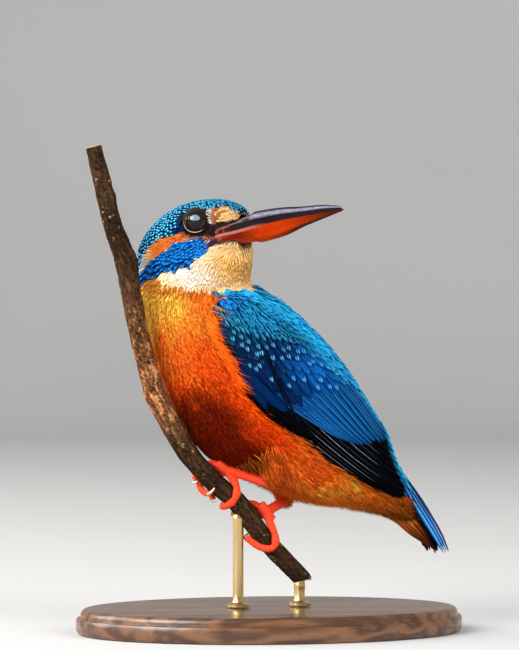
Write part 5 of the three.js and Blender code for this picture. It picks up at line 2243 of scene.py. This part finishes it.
class KINGFISHER_OT_tail(Maker, bpy.types.Operator):
    """Make the tail feathers"""

    bl_idname = "kingfisher.tail"
    bl_label = "Tail feathers"

    def make(self, scene):
        above, below = tail_feathers()
        dress("blue_feathers", "tail feathers", above)
        dress("blue_feathers", "tail undersides", below)


class KINGFISHER_OT_eyes(Maker, bpy.types.Operator):
    """Make the eyes and their lids"""

    bl_idname = "kingfisher.eyes"
    bl_label = "Eyes"

    def make(self, scene):
        for side, label in ((1, "left"), (-1, "right")):
            eyeball(side, label)
            eyelids(side, label)


class KINGFISHER_OT_bill(Maker, bpy.types.Operator):
    """Make both halves of the bill"""

    bl_idname = "kingfisher.bill"
    bl_label = "Bill"

    def make(self, scene):
        colours = scene.kingfisher_colours
        # The upper half's outer colour is a painted sheen: a pale lavender reflection along its side.
        upper = horn_material(
            "dark horn", colours.bill_above, second=(0.016, 0.007, 0.008), tip=(0.50, 0.36, 0.24),
            tip_reach=(0.985, 0.999), outer=(0.25, 0.225, 0.31), edge=(0.010, 0.007, 0.010),
            edge_reach=(0.0, 0.12), rough=0.42,
        )
        # The lower half's darker second tone towards the face is partly its own red and partly painted shade.
        lower = horn_material(
            "red horn", colours.bill_below, second=(0.13, 0.008, 0.003), tip=(0.050, 0.010, 0.004),
            tip_reach=(0.50, 0.90), outer=(0.44, 0.036, 0.002), edge=(0.045, 0.010, 0.004),
            edge_reach=(0.36, 0.60), rough=0.4,
        )
        bill_half("bill_above", True, upper, "upper_bill", "bill_upper")
        bill_half("bill_below", False, lower, "lower_bill", "bill_lower")


class KINGFISHER_OT_claws(Maker, bpy.types.Operator):
    """Make the claws"""

    bl_idname = "kingfisher.claws"
    bl_label = "Claws"

    def make(self, scene):
        for side in FEET:
            claws(side)


class KINGFISHER_OT_perch(Maker, bpy.types.Operator):
    """Make the cut length of twig"""

    bl_idname = "kingfisher.perch"
    bl_label = "Twig"

    def make(self, scene):
        twig()


class KINGFISHER_OT_stand(Maker, bpy.types.Operator):
    """Make the display base and its two rods"""

    bl_idname = "kingfisher.stand"
    bl_label = "Display stand"

    def make(self, scene):
        colours = scene.kingfisher_colours
        plate = display_base()
        wear(plate, walnut_material(colours.wood_light, colours.wood_dark))
        finish_piece(plate, "base_wood", "stand_base")
        brass = brass_material(colours.brass)
        for node, label in (("stand_rod_front", "display_rod_front"), ("stand_rod_rear", "display_rod_rear")):
            rod = display_rod(node, label)
            wear(rod, brass)
            finish_piece(rod, "rod_brass", node)


class KINGFISHER_OT_skin(Maker, bpy.types.Operator):
    """Make the skin, below the coat, with the bare legs and toes"""

    bl_idname = "kingfisher.skin"
    bl_label = "Skin and feet"

    def make(self, scene):
        skin()


class KINGFISHER_OT_studio(Maker, bpy.types.Operator):
    """Set up the floor, the lights and the camera"""

    bl_idname = "kingfisher.studio"
    bl_label = "Studio"

    def make(self, scene):
        studio()


MAKERS = (
    KINGFISHER_OT_outline,
    KINGFISHER_OT_head_coat,
    KINGFISHER_OT_body_coat,
    KINGFISHER_OT_back_coat,
    KINGFISHER_OT_wings,
    KINGFISHER_OT_tail,
    KINGFISHER_OT_skin,
    KINGFISHER_OT_eyes,
    KINGFISHER_OT_bill,
    KINGFISHER_OT_claws,
    KINGFISHER_OT_perch,
    KINGFISHER_OT_stand,
    KINGFISHER_OT_studio,
)


class KINGFISHER_PT_sidebar(bpy.types.Panel):
    """Lists the pieces of the kingfisher"""

    bl_idname = "KINGFISHER_PT_sidebar"
    bl_label = "Kingfisher"
    bl_space_type = "VIEW_3D"
    bl_region_type = "UI"
    bl_category = "Kingfisher"

    def draw(self, context):
        scene = context.scene
        for group in (scene.kingfisher_sizes, scene.kingfisher_colours):
            for name in group.__annotations__:
                self.layout.prop(group, name)
        for maker in MAKERS:
            self.layout.operator(maker.bl_idname)


CLASSES = (KingfisherSizes, KingfisherColours, *MAKERS, KINGFISHER_PT_sidebar)


def register():
    for item in CLASSES:
        bpy.utils.register_class(item)
    bpy.types.Scene.kingfisher_sizes = PointerProperty(type=KingfisherSizes)
    bpy.types.Scene.kingfisher_colours = PointerProperty(type=KingfisherColours)


def unregister():
    del bpy.types.Scene.kingfisher_colours
    del bpy.types.Scene.kingfisher_sizes
    for item in reversed(CLASSES):
        bpy.utils.unregister_class(item)


def main():
    register()
    for maker in MAKERS:
        getattr(bpy.ops.kingfisher, maker.bl_idname.split(".")[1])()


if __name__ == "__main__":
    main()
